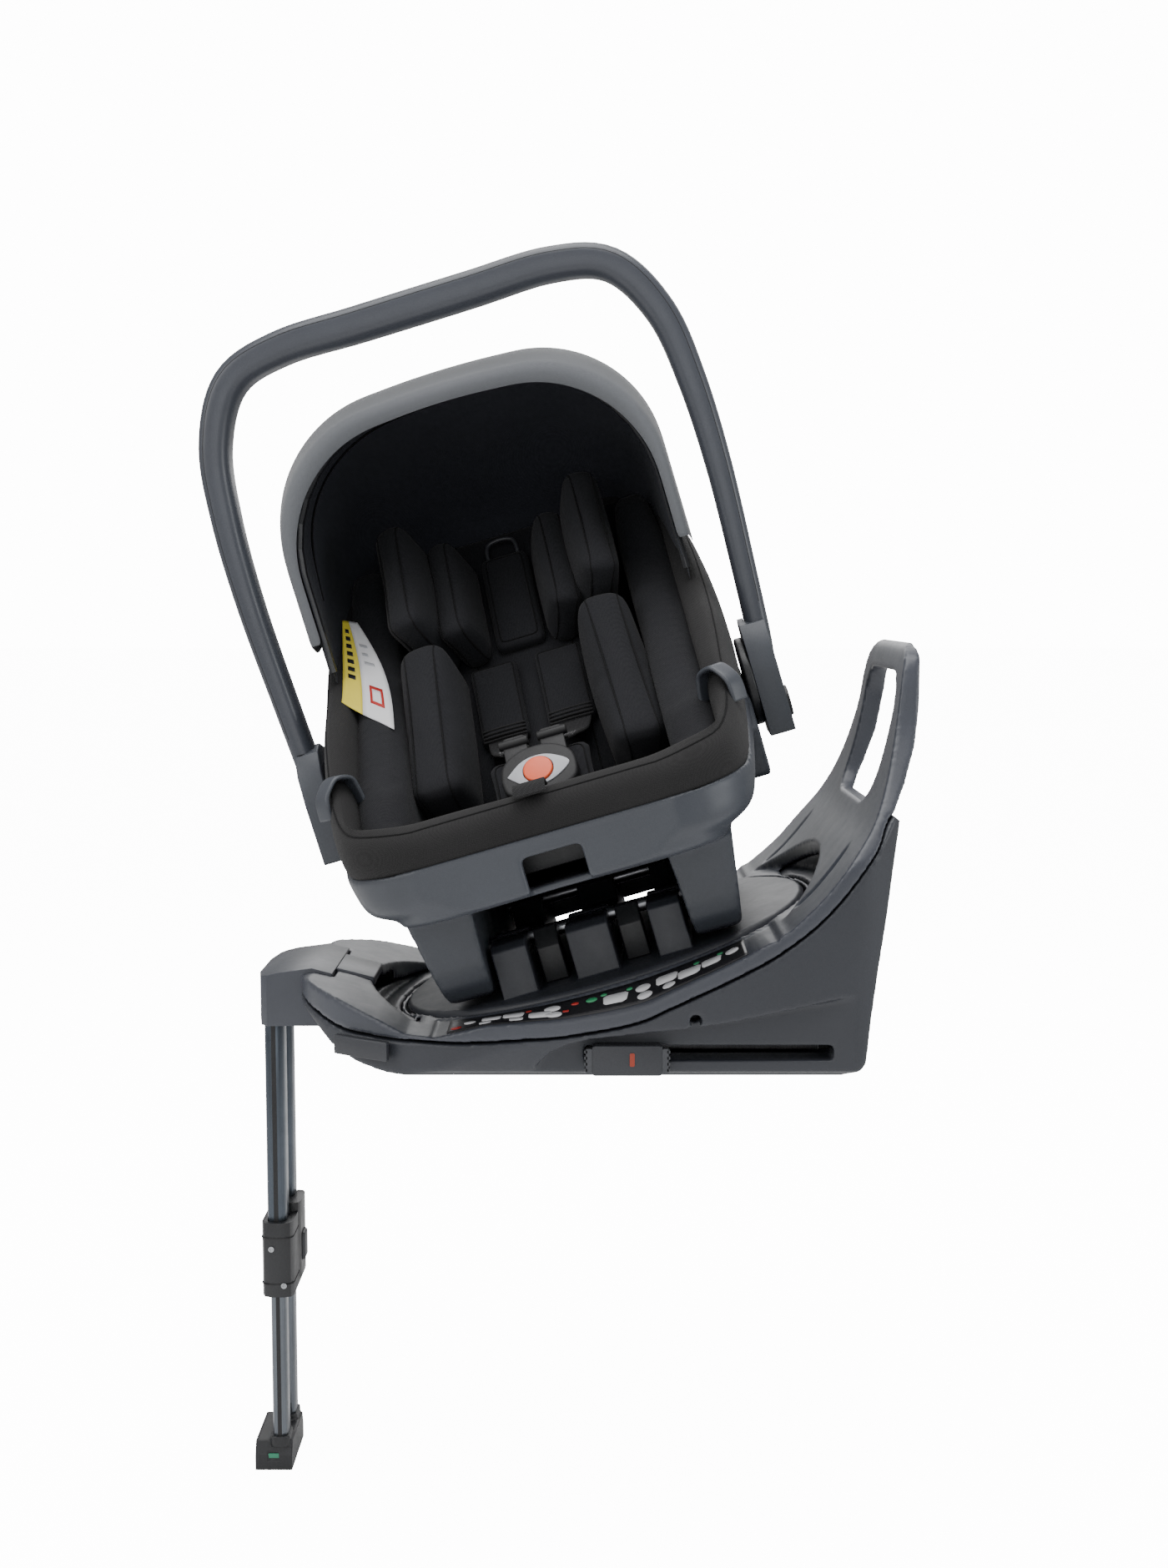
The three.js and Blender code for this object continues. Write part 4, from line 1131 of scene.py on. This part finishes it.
def outlineReach(outline, angle, centreY):
    # Distance from (0, centreY) to a closed outline of (x, y) points along an angle.
    direction = Vector((math.cos(angle), math.sin(angle)))
    best = None
    for (ax, ay), (bx, by) in zip(outline, outline[1:] + outline[:1]):
        edge = Vector((bx - ax, by - ay))
        cross = direction.x * edge.y - direction.y * edge.x
        if abs(cross) < 1e-9:
            continue
        away = Vector((ax, ay - centreY))
        along = (away.x * edge.y - away.y * edge.x) / cross
        share = (away.x * direction.y - away.y * direction.x) / cross
        if along > 0 and -1e-6 <= share <= 1 + 1e-6 and (best is None or along > best):
            best = along
    return best


rimRings = []


def rimProfile(far, near, seam, crest, wave):
    # (reach, height) from the shell's edge up the outside, over the crest and down inside.
    tall = crest - seam
    under = crest - 40 if tall > 50 else seam + 2
    return [(far - 7, seam - 5), (far - 1.5, seam - 0.5), (far + 1.2, seam + 0.10 * tall),
            (far + 3, seam + 0.38 * tall), (far + 1.8, seam + 0.62 * tall), (far - 2.5, seam + 0.84 * tall),
            (far - 10, crest - 1.5), (far * 0.55 + near * 0.45, crest + 1.5 + wave), (near + 7, crest - 2),
            (near + 2, crest - 8), (near, crest - 20), (near - 0.5, crest - 44), (near + 6, crest - 46),
            (far - 12, under)]


def buildCoverRim():
    wellHalf = spline(coverEdge["well"], 60)
    well = [(x, y) for y, x in wellHalf] + [(-x, y) for y, x in wellHalf[::-1] if x != 0]
    side = [(s[1], s[0]) for s in stationCurve]
    outer = side + [(-x, y) for x, y in side[::-1]]
    seams = [(s[0], s[4]) for s in stationCurve]
    crests = [(s[0], s[5]) for s in stationCurve]
    centreY = coverEdge["centreY"]
    path = []
    for k in range(coverEdge["spokes"]):
        angle = 2 * math.pi * k / coverEdge["spokes"] + 0.001
        far = outlineReach(outer, angle, centreY)
        near = outlineReach(well, angle, centreY)
        ux, uy = math.cos(angle), math.sin(angle)
        y = centreY + uy * far
        seam, crest = valueAt(seams, y), valueAt(crests, y)
        wave = 0.5 * math.sin(9 * angle) + 0.4 * math.sin(17 * angle + 1)
        profile = rimProfile(far, near, seam, crest, wave)
        rimRings.append([(ux * r, centreY + uy * r, z) for r, z in profile])
        path.append((ux * (far - 6), centreY + uy * (far - 6), crest - 5))
    count = len(rimRings[0])
    total = len(rimRings)
    faces = [(r * count + i, r * count + (i + 1) % count, ((r + 1) % total) * count + (i + 1) % count,
              ((r + 1) % total) * count + i) for r in range(total) for i in range(count)]
    rim = outward(meshPiece([p for ring in rimRings for p in ring], faces))
    applied(rim, "SMOOTH", factor=0.4, iterations=2)
    applied(rim, "SUBSURF", levels=1, render_levels=1)
    settle(rim, "coverRim", docked, "carrier", "rimCloth", ["seat_cover_rim"])
    # the seam runs round the front and sides, and stops short of the canopy
    last = coverEdge["seamEnd"]
    count = sum(p[1] < last for p in path)
    start = next(i for i in range(len(path)) if path[i][1] >= last and path[(i + 1) % len(path)][1] < last)
    ordered = [path[(start + 1 + i) % len(path)] for i in range(count)]
    stitched("rimSeam", rim, docked, ordered, "carrier", 0.0008, 0.0)


buildCoverRim()
print("cover rim sewn")

guide = {"y": -166, "width": 17, "thick": 4.2, "lift": 2.4, "arch": 3.5, "first": 4, "last": 10}


def buildGuides():
    # A plastic belt hook arched over each front corner of the cover, along one section of its rim.
    for hand, side in (("left", -1), ("right", 1)):
        here = [ring for ring in rimRings if ring[2][0] * side > 100]
        ring = min(here, key=lambda r: abs(r[2][1] - guide["y"]))
        radial = Vector((ring[2][0], ring[2][1] - coverEdge["centreY"], 0)).normalized()
        route = []
        for i in range(guide["first"], guide["last"] + 1):
            run = (Vector(ring[i + 1]) - Vector(ring[i - 1])).normalized()
            outside = Vector((-run.z * radial.x, -run.z * radial.y, run.dot(radial)))
            wrong = outside.z < 0 if i > guide["first"] else outside.dot(radial) < 0
            if wrong:
                outside = -outside
            rise = guide["lift"] + (guide["arch"] if guide["first"] < i < guide["last"] - 1 else 0)
            route.append(tuple(Vector(ring[i]) + outside.normalized() * rise))
        hook = ribbon(route, guide["width"], guide["thick"], Vector((0, 0, 1)).cross(radial))
        rounded(hook, 1.6, 3, 40)
        settle(hook, f"beltGuide_{hand}", docked, "carrier", "carrierPlastic",
               [f"belt_guide_{hand}"], angle=40)

buildGuides()

# handle
handleShape = {
    "half": [(210, 6), (215, 95), (219, 190), (217, 270), (207, 335), (177, 385), (125, 401), (50, 401)],
    "hub": 190, "steps": 150, "thin": 21, "swell": 11, "width": 36, "flare": 5, "square": 3.1, "sides": 32,
    "partings": (("partingNear", 26), ("partingFar", 6)), "partingGap": 8,
}


def superRing(width, height, power, count):
    ring = []
    for i in range(count):
        a = 2 * math.pi * i / count
        c, s = math.cos(a), math.sin(a)
        ring.append((math.copysign(abs(c) ** (2 / power), c) * width / 2,
                     math.copysign(abs(s) ** (2 / power), s) * height / 2))
    return ring


def buildHandle():
    half = handleShape["half"]
    route = [(-x, z) for x, z in half] + [(x, z) for x, z in half[::-1]]
    line = evenly([(x, 0, z + handleShape["hub"]) for x, z in spline(route, 400)], handleShape["steps"])
    rings = []
    for i, point in enumerate(line):
        t = i / (len(line) - 1)
        ahead = Vector(line[min(i + 1, len(line) - 1)]) - Vector(line[max(i - 1, 0)])
        outside = Vector((-ahead.z, 0, ahead.x)).normalized()
        bulge = math.sin(math.pi * t) ** 2
        thick = handleShape["thin"] + handleShape["swell"] * bulge
        wide = handleShape["width"] + handleShape["flare"] * bulge
        end = min(i, len(line) - 1 - i)
        if end < 5:      # rounded blade end
            ease = math.sqrt(1 - ((5 - end) / 5.4) ** 2)
            thick, wide = thick * (0.55 + 0.45 * ease), wide * ease
        section = superRing(thick, wide, handleShape["square"], handleShape["sides"])
        rings.append([tuple(Vector(point) + outside * u + Vector((0, v, 0))) for u, v in section])
    arch = skinned(rings)
    settle(arch, "handleArch", docked, "handle", "handlePlastic", ["handle_arch"], angle=50)
    # parting line along both edges of the bar
    gap = handleShape["partingGap"]
    for name, corner in handleShape["partings"]:
        trail = [ring[corner] for ring in rings[gap:-gap]]
        stitched(name, arch, docked, trail, "handle", 0.00035, -0.0001, "darkPlasticAndGrooveShade")


buildHandle()
for hand in ("left", "right"):
    softened(f"handle_cap_{hand}", "carrierPlastic", 3.0, 4)
    softened(f"handle_button_{hand}", "blackPlastic", 1.4)
    softened(f"hub_boss_{hand}", "blackPlastic", 2.0, 4)
print("handle shaped")

# canopy: outer cloth, hem and lining, each one curved sheet
canopyShape = {
    "hub": 190, "shoulder": 114, "columns": 57, "rows": 30, "crown": 2.5, "sag": 2.2, "liningSag": 2.5,
    "ribs": (92, 72, 50, 38), "liningInset": 11.0,
    # angle above the rear, reach, lower edge, half-width
    "sections": [(92, 327, 140, 176), (87, 340, 138, 178), (80, 353, 136, 179), (70, 361, 146, 178),
                 (60, 364, 180, 174), (50, 366, 242, 166), (42, 367, 306, 152), (38, 364, 332, 138)],
    # the turned hem ahead of the first section: angle, reach, inset
    "hem": [(92.6, 320, 9.0), (93.4, 324, 5.5), (93.2, 327, 2.0)],
    "seams": (("liningSeamFront", 84), ("liningSeamRear", 70)), "seamInset": 12.5,
}


def canopyRow(angle, reach, edge, half, inset=0.0):
    shoulder = canopyShape["shoulder"]
    drop = min(shoulder, reach - edge - 4)
    right = [(half - inset, edge)]
    for step in range(15):
        a = step / 14 * math.pi / 2
        right.append((half - inset - shoulder + shoulder * math.cos(a), reach - inset - drop + drop * math.sin(a)))
    flat = half - inset - shoulder
    top = [(flat * k / 6, reach - inset + canopyShape["crown"] * (1 - (k / 6) ** 2)) for k in range(5, -6, -1)]
    arch = [(x, r, 0) for x, r in right + top + [(-x, r) for x, r in right[::-1]]]
    turn = math.radians(angle)
    return [(x, r * math.cos(turn), r * math.sin(turn) + canopyShape["hub"])
            for x, r, _ in evenly(arch, canopyShape["columns"])]


def ribGap(angle):
    # 0 at a rib, 1 far from any.
    return min(1.0, min(abs(angle - rib) for rib in canopyShape["ribs"]) / 14) ** 1.5


def canopyRows():
    # Cloth stretched over the ribs, hollow between them.
    return [canopyRow(*section, inset=canopyShape["sag"] * ribGap(section[0]))
            for section in spline(canopyShape["sections"], canopyShape["rows"])]


def tuckedRows(row, low, back):
    # The cloth's rear edge, led down onto the cover behind the head.
    rows = []
    for share in (0.5, 1.0):
        rows.append([(x, y + share * back * min(1.0, max(0.0, z - low) / 30), z + share * (min(z, low) - z))
                     for x, y, z in row])
    return rows


def canopyBlend(piece):
    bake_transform(piece)


def settleSheet(piece, name, material, thickness, nodes=()):
    piece.data.transform(docked @ shrink)
    applied(piece, "SOLIDIFY", thickness=thickness * milli, offset=-1.0)
    applied(piece, "SUBSURF", levels=1, render_levels=1)
    outward(piece)
    painted(piece, name, material, 60)
    canopyBlend(piece)
    if nodes:
        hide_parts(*nodes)


def buildCanopy():
    sections = canopyShape["sections"]
    _, reach, edge, half = sections[0]
    hem = [canopyRow(angle, out, edge, half, inset) for angle, out, inset in canopyShape["hem"]]
    rows = canopyRows()
    outer = sheetGrid(hem + rows + tuckedRows(rows[-1], 372, 4))
    settleSheet(outer, "canopyCloth", "canopyCloth", 1.2, ["canopy_fabric"])
    inner = [(92.2, reach - 3, edge, half)] + sections[1:]
    lining = []
    for angle, reach, edge, half in spline(inner, canopyShape["rows"]):
        lower = 34 if angle < 86 else 16
        inset = canopyShape["liningInset"] + canopyShape["liningSag"] * ribGap(angle)
        lining.append(canopyRow(angle, reach, edge - lower, half, inset))
    lining = sheetGrid(lining + tuckedRows(lining[-1], 364, 4))
    settleSheet(lining, "canopyLining", "liningCloth", 0.8)
    tree = surfaceOf(lining)
    table = spline(sections, 60)
    for name, angle in canopyShape["seams"]:
        section = min(table, key=lambda item: abs(item[0] - angle))
        row = canopyRow(*section, inset=canopyShape["seamInset"])
        spots = [Vector(p) for p in laidOn(tree, [docked @ (Vector(p) * milli) for p in row[4:-4]], 0.0)]
        for _ in range(4):
            middle = [(a + 2 * b + c) / 4 for a, b, c in zip(spots, spots[1:], spots[2:])]
            spots = [spots[0]] + middle + [spots[-1]]
        seam = painted(tube(evenly(spots, 70), 0.0009, 6), name, "seamCloth")
        canopyBlend(seam)


buildCanopy()
dressed("canopy_bow", "blackPlastic")
print("canopy stretched")

# cushions
stuffing = {"voxel": 5.0, "pressure": 4.0, "frames": 20}


def stuffed(piece, cap):
    # Blown up a little by cloth simulation, each point held within the cap. The piece is in metres.
    scene = bpy.context.scene
    begin = [v.co.copy() for v in piece.data.vertices]
    hold(piece)
    cloth = piece.modifiers.new("stuffing", "CLOTH")
    cloth.settings.use_pressure = True
    cloth.settings.uniform_pressure_force = stuffing["pressure"]
    cloth.settings.effector_weights.gravity = 0
    cloth.settings.quality = 4
    cloth.point_cache.frame_end = stuffing["frames"]
    for tick in range(1, stuffing["frames"] + 1):
        scene.frame_set(tick)
    bpy.ops.object.modifier_apply(modifier=cloth.name)
    scene.frame_set(1)
    for vertex, was in zip(piece.data.vertices, begin):
        moved = vertex.co - was
        if moved.length > cap * milli:
            vertex.co = was + moved.normalized() * cap * milli


def pillow(size, corner, pinch, crown):
    # A rounded block whose sides pull in between its corners and whose faces rise in the middle.
    clearSelection()
    bpy.ops.mesh.primitive_cube_add(size=1)
    piece = bpy.context.object
    bpy.ops.object.mode_set(mode="EDIT")
    bpy.ops.mesh.select_all(action="SELECT")
    bpy.ops.transform.resize(value=size)
    bpy.ops.mesh.bevel(offset=corner, segments=4, affect="EDGES", profile=0.5)
    bpy.ops.object.mode_set(mode="OBJECT")
    applied(piece, "REMESH", mode="VOXEL", voxel_size=stuffing["voxel"])
    thin = min(range(3), key=lambda axis: size[axis])
    wide = [axis for axis in range(3) if axis != thin]
    for vertex in piece.data.vertices:
        share = [2 * vertex.co[axis] / size[axis] for axis in range(3)]
        a, b = share[wide[0]], share[wide[1]]
        vertex.co[wide[0]] *= 1 - pinch * (1 - b * b)
        vertex.co[wide[1]] *= 1 - pinch * (1 - a * a)
        vertex.co[thin] *= 1 + crown * (1 - a * a) * (1 - b * b)
    return piece


def settleCushion(piece, name, place, body, node, cap):
    piece.data.transform(shrink)
    stuffed(piece, cap)
    applied(piece, "SMOOTH", factor=0.5, iterations=2)
    applied(piece, "SUBSURF", levels=1, render_levels=1)
    piece.data.transform(grow)
    settle(piece, name, place, body, "blackCloth", [node])


def loopYZ(size, x, corner):
    return [(x, u, v) for u, v in roundRect(size[1] - 1, size[2] - 1, corner, 0, 0, 10)]


wings = {
    # place on the backrest; lean outward and turn in radians; movement cap in millimetres; seams across it
    "bodyWing": {
        "size": (47, 184, 76), "corner": 15, "at": (84, 86, 64), "splay": 0.12, "turn": 0.04, "pinch": 0.05,
        "crown": 0.10, "cap": 6, "node": "body_wing", "body": "carrier", "seams": (-0.30, 0.34),
    },
    "headWing": {
        "size": (35, 140, 92), "corner": 13, "at": (84, 258, 70), "splay": 0.27, "turn": 0.0, "pinch": 0.05,
        "crown": 0.12, "cap": 5, "node": "head_wing", "body": "headrest", "seams": (-0.32, 0.36),
    },
    "headHugger": {
        "size": (31, 128, 64), "corner": 12, "at": (48, 253, 56), "splay": 0.27, "turn": 0.0, "pinch": 0.05,
        "crown": 0.12, "cap": 5, "node": "head_hugger", "body": "headrest", "seams": (-0.32, 0.36),
    },
}


def buildWings():
    for name, wing in wings.items():
        for hand, side in (("left", -1), ("right", 1)):
            x, y, z = wing["at"]
            lean = Matrix.Rotation(side * wing["turn"], 4, "Z") @ Matrix.Rotation(side * wing["splay"], 4, "Y")
            place = backrest @ shifted(side * x, y, z) @ lean
            piece = pillow(wing["size"], wing["corner"], wing["pinch"], wing["crown"])
            settleCushion(piece, f"{name}_{hand}", place, wing["body"], f"{wing['node']}_{hand}", wing["cap"])
            for k, share in enumerate(wing["seams"]):
                loop = closedLoop(loopYZ(wing["size"], side * share * wing["size"][0], wing["corner"] + 6))
                stitched(f"{name}Seam{k}_{hand}", piece, place, loop, wing["body"], 0.0008, -0.0002)


buildWings()

pads = {
    # size, corner, place frame, spot, pinch, crown, cap, node, body
    "backPad": ((208, 358, 19), 7, backrest, (0, 200, 11), 0.0, 0.10, 5, "backrest_pad", "carrier"),
    "seatPad": ((208, 114, 17), 6, docked, (0, -141, 124), 0.0, 0.12, 5, "seat_pad", "carrier"),
    "headPanel": ((50, 124, 15), 6, backrest, (0, 262, 31), 0.0, 0.10, 4, "headrest_panel", "headrest"),
    "crotchPad": ((92, 64, 12), 5, buckleSeat, (0, 3, -18), 0.06, 0.20, 5, "crotch_pad", "carrier"),
}


def buildPads():
    for name, (size, corner, place, spot, pinch, crown, cap, node, body) in pads.items():
        where = place @ shifted(*spot)
        piece = pillow(size, corner, pinch, crown)
        settleCushion(piece, name, where, body, node, cap)
        width, length = size[0] / 2, size[1] / 2
        if name == "backPad":
            for side in (-1, 1):
                run = [(side * 46, -length + 6 + k * (2 * length - 12) / 40, 12) for k in range(41)]
                stitched(f"backPadSeam_{'left' if side < 0 else 'right'}", piece, where, run, body)
        else:
            loop = closedLoop([(u, v, size[2]) for u, v in roundRect(2 * width - 9, 2 * length - 9, corner + 3)])
            stitched(f"{name}Seam", piece, where, loop, body, 0.0007)


buildPads()

bolsterShape = {
    "outline": [(-192, 120), (-196, 160), (-155, 196), (-75, 243), (0, 285), (75, 334), (134, 380), (158, 388),
                (176, 366), (60, 250), (-30, 158), (-64, 124)],
    "low": 117, "high": 150, "cap": 6,
}


def buildBolsters():
    for hand, side in (("left", -1), ("right", 1)):
        piece = plate("yz", bolsterShape["outline"], *flank(side, bolsterShape["low"], bolsterShape["high"]))
        rounded(piece, 9, 4)
        applied(piece, "REMESH", mode="VOXEL", voxel_size=6)
        settleCushion(piece, f"sideBolster_{hand}", docked, "carrier", f"side_bolster_{hand}", bolsterShape["cap"])


buildBolsters()
print("cushions stuffed")

# harness
harness = {"padAt": (31, 138, 31), "padSize": (48, 98, 13)}


def buildShoulderPads():
    for hand, side in (("left", -1), ("right", 1)):
        x, y, z = harness["padAt"]
        where = backrest @ shifted(side * x, y, z)
        piece = pillow(harness["padSize"], 5, 0.03, 0.15)
        settleCushion(piece, f"shoulderPad_{hand}", where, "carrier", f"shoulder_pad_{hand}", 4)
        loop = closedLoop([(u, v, 12) for u, v in roundRect(42, 92, 7)])
        stitched(f"shoulderPadSeam_{hand}", piece, where, loop, "carrier", 0.0006)
        # ribbed grip cuff at the lower end
        cuffs = []
        for k in range(4):
            row = [(side * x + u, y - 34 - 4.2 * k, z + 7.5 - 0.6 * abs(u) / 20) for u in range(-20, 21, 4)]
            cuffs.append(tube(row, 1.1, 8))
        settle(joined(*cuffs), f"shoulderCuff_{hand}", backrest, "carrier", "strapWeb")


def buildStraps():
    for hand, side in (("left", -1), ("right", 1)):
        route = [(side * 30, 92, 34), (side * 28, 66, 50), (side * 22, 42, 74), (side * 17, 26, 90)]
        webbing = ribbon(route, 37, 2.4, (1, 0, 0), 0.68)
        settle(webbing, f"shoulderStrap_{hand}", backrest, "carrier", "strapWeb",
               [f"shoulder_strap_{hand}"], angle=40)
        stitches = []
        for k in range(5):
            for j in range(9):
                centre = Vector((side * (23.5 - 0.5 * k), 47 - 3.6 * k, 70.5 + 3.3 * k))
                a = centre + Vector((-11 + 2.6 * j, -0.7, 1.2))
                b = centre + Vector((-11 + 2.6 * j + 1.5, -0.7, 1.3))
                stitches.append(tube([tuple(a), tuple(b)], 0.42, 6))
        settle(joined(*stitches), f"strapStitches_{hand}", backrest, "carrier", "threadCloth")
    route = [(0, -234, 173), (0, -241, 177), (0, -249, 178.5), (0, -257, 176.5), (0, -263, 171)]
    adjuster = ribbon(route, 26, 2.6, (1, 0, 0))
    settle(adjuster, "adjusterStrap", docked, "carrier", "strapWeb", ["adjuster_strap"], angle=40)


buckle = {
    "outline": [(-33, -4), (-30, -17), (-19, -24), (0, -26), (19, -24), (30, -17), (33, -4), (31, 9), (24, 18),
                (12, 24), (0, 25.5), (-12, 24), (-24, 18), (-31, 9), (-33, -4)],
    "face": [(-27, -2), (-14, 9.5), (0, 13), (14, 9.5), (27, -2), (14, -14), (0, -17.4), (-14, -14), (-27, -2)],
    "button": (0, -2),
}


def buildBuckle():
    body = plate("xy", spline(buckle["outline"], 84)[:-1], -10, 8.6)
    rounded(body, 3.4, 4)
    for side in (-1, 1):
        cut(body, block((side * 16 - 11, side * 16 + 11), (17, 40), (-2.6, 2.6)))
    cut(body, rod("z", 13.5, -0.5, 30, buckle["button"], 48))
    settle(body, "buckleBody", buckleSeat, "carrier", "darkPlasticAndGrooveShade", ["buckle_housing"],
           angle=40)
    face = plate("xy", spline(buckle["face"], 80)[:-1], 7.4, 9.6)
    rounded(face, 0.6, 3)
    cut(face, rod("z", 13.4, 2, 30, buckle["button"], 48))
    settle(face, "buckleFace", buckleSeat, "carrier", "plateGrey", angle=40)
    button = rounded(rod("z", 12.7, 5.5, 11.4, buckle["button"], 64), 1.4, 4)
    settle(button, "buckleButton", buckleSeat, "buckle_release", "buttonOrange",
           ["buckle_button"], angle=40)
    for hand, side in (("left", -1), ("right", 1)):
        # tongue with its rolled webbing bar
        tongue = rounded(plate("xy", roundRect(21, 30, 4, side * 16.2, 30), -1.6, 1.6), 1.0, 3)
        bar = rounded(rod("x", 4.2, side * 17 - 13, side * 17 + 13, (38, 1.0), 24), 1.4, 3)
        settle(joined(tongue, bar), f"buckleTongue_{hand}", buckleSeat, "carrier", "darkPlasticAndGrooveShade",
               angle=40)


def buildHeadLoop():
    # Grey pull ring at the top of the headrest.
    route = [(-14, 320, 30), (-15, 330, 34), (-12, 340, 37), (0, 343, 38), (12, 340, 37), (15, 330, 34),
             (14, 320, 30)]
    ring = tube(spline(route, 36), 2.1, 12)
    settle(ring, "headLoop", backrest, "headrest", "blockPlastic", ["headrest_loop"], angle=50)


buildShoulderPads()
buildStraps()
buildBuckle()
buildHeadLoop()
softened("seat_liner", "blackPlastic", 1.0)
print("harness threaded")

# plain two-tone patch over the left side's padding
patch = {
    # corners in the base's frame: upper outer, lower outer, upper inner, lower inner
    "corners": [(-229, 84, 374), (-217, -12, 298), (-215, 86, 372), (-166, -60, 279)],
    "bow": 9, "split": 0.40, "columns": 13, "rows": 37, "lift": 0.5, "reach": 16,
}


def patchGrid():
    upperOut, lowerOut, upperIn, lowerIn = [Vector(c) for c in patch["corners"]]
    grid = []
    for r in range(patch["rows"]):
        v = r / (patch["rows"] - 1)
        out = upperOut.lerp(lowerOut, v)
        inner = upperIn.lerp(lowerIn, v) + Vector((patch["bow"] * math.sin(math.pi * v), 0, 0))
        grid.append([out.lerp(inner, c / (patch["columns"] - 1)) for c in range(patch["columns"])])
    facing = (upperIn - lowerOut).cross(lowerIn - upperOut).normalized()
    if facing.y > 0:
        facing = -facing
    trees = [surfaceOf(bpy.data.objects[name]) for name in ("coverRim", "sideBolster_left")]
    heights = []
    for row in grid:
        line = []
        for point in row:
            best = -6.0
            for tree in trees:
                spot, _, _, far = tree.ray_cast((point + facing * patch["reach"]) * milli, -facing)
                if spot is not None:
                    best = max(best, patch["reach"] - far / milli)
            line.append(best)
        heights.append(line)
    floorLine = [line[:] for line in heights]
    for _ in range(40):      # drapes smoothly over the step between the two pads
        heights = [[max(floorLine[r][c], sum(heights[min(max(r + dr, 0), patch["rows"] - 1)]
                                             [min(max(c + dc, 0), patch["columns"] - 1)]
                                             for dr, dc in ((1, 0), (-1, 0), (0, 1), (0, -1))) / 4)
                    for c in range(patch["columns"])] for r in range(patch["rows"])]
    return [[grid[r][c] + facing * (heights[r][c] + patch["lift"]) for c in range(patch["columns"])]
            for r in range(patch["rows"])], facing


def patchSpot(rows, u, v):
    r = min(max(v, 0), 1) * (len(rows) - 1)
    c = min(max(u, 0), 1) * (len(rows[0]) - 1)
    i, j = min(int(r), len(rows) - 2), min(int(c), len(rows[0]) - 2)
    top = rows[i][j].lerp(rows[i][j + 1], c - j)
    low = rows[i + 1][j].lerp(rows[i + 1][j + 1], c - j)
    return top.lerp(low, r - i)


def patchPart(rows, name, material, spans, thickness, lift, facing):
    # spans: (u0, u1, v0, v1) rectangles on the patch
    pieces = []
    for u0, u1, v0, v1 in spans:
        steps = max(2, int((v1 - v0) * 36))
        area = [[tuple(patchSpot(rows, u0 + (u1 - u0) * k / 6, v0 + (v1 - v0) * n / steps) + facing * lift)
                 for k in range(7)] for n in range(steps + 1)]
        pieces.append(sheetGrid(area))
    settle(solid(joined(*pieces), thickness), name, ground, "carrier", material)


def buildPatch():
    rows, facing = patchGrid()
    split = patch["split"]
    patchPart(rows, "patchYellow", "patchYellow", [(0.0, split, 0.0, 1.0)], 0.6, 0.0, facing)
    patchPart(rows, "patchWhite", "patchWhite", [(split, 1.0, 0.0, 1.0)], 0.6, 0.0, facing)
    bars = [(0.12, 0.28, 0.10 + 0.085 * k, 0.145 + 0.085 * k) for k in range(7)]
    patchPart(rows, "patchBars", "patchBlack", bars, 0.3, 0.4, facing)
    dots = [(0.55, 0.80, 0.24, 0.27), (0.55, 0.72, 0.33, 0.36), (0.55, 0.80, 0.42, 0.45)]
    patchPart(rows, "patchLines", "plateGrey", dots, 0.3, 0.4, facing)
    patchPart(rows, "patchSquare", "markRed", [(0.56, 0.84, 0.66, 0.84)], 0.3, 0.4, facing)
    patchPart(rows, "patchSquareInner", "patchWhite", [(0.61, 0.79, 0.69, 0.81)], 0.3, 0.6, facing)


buildPatch()
print("patch sewn on")
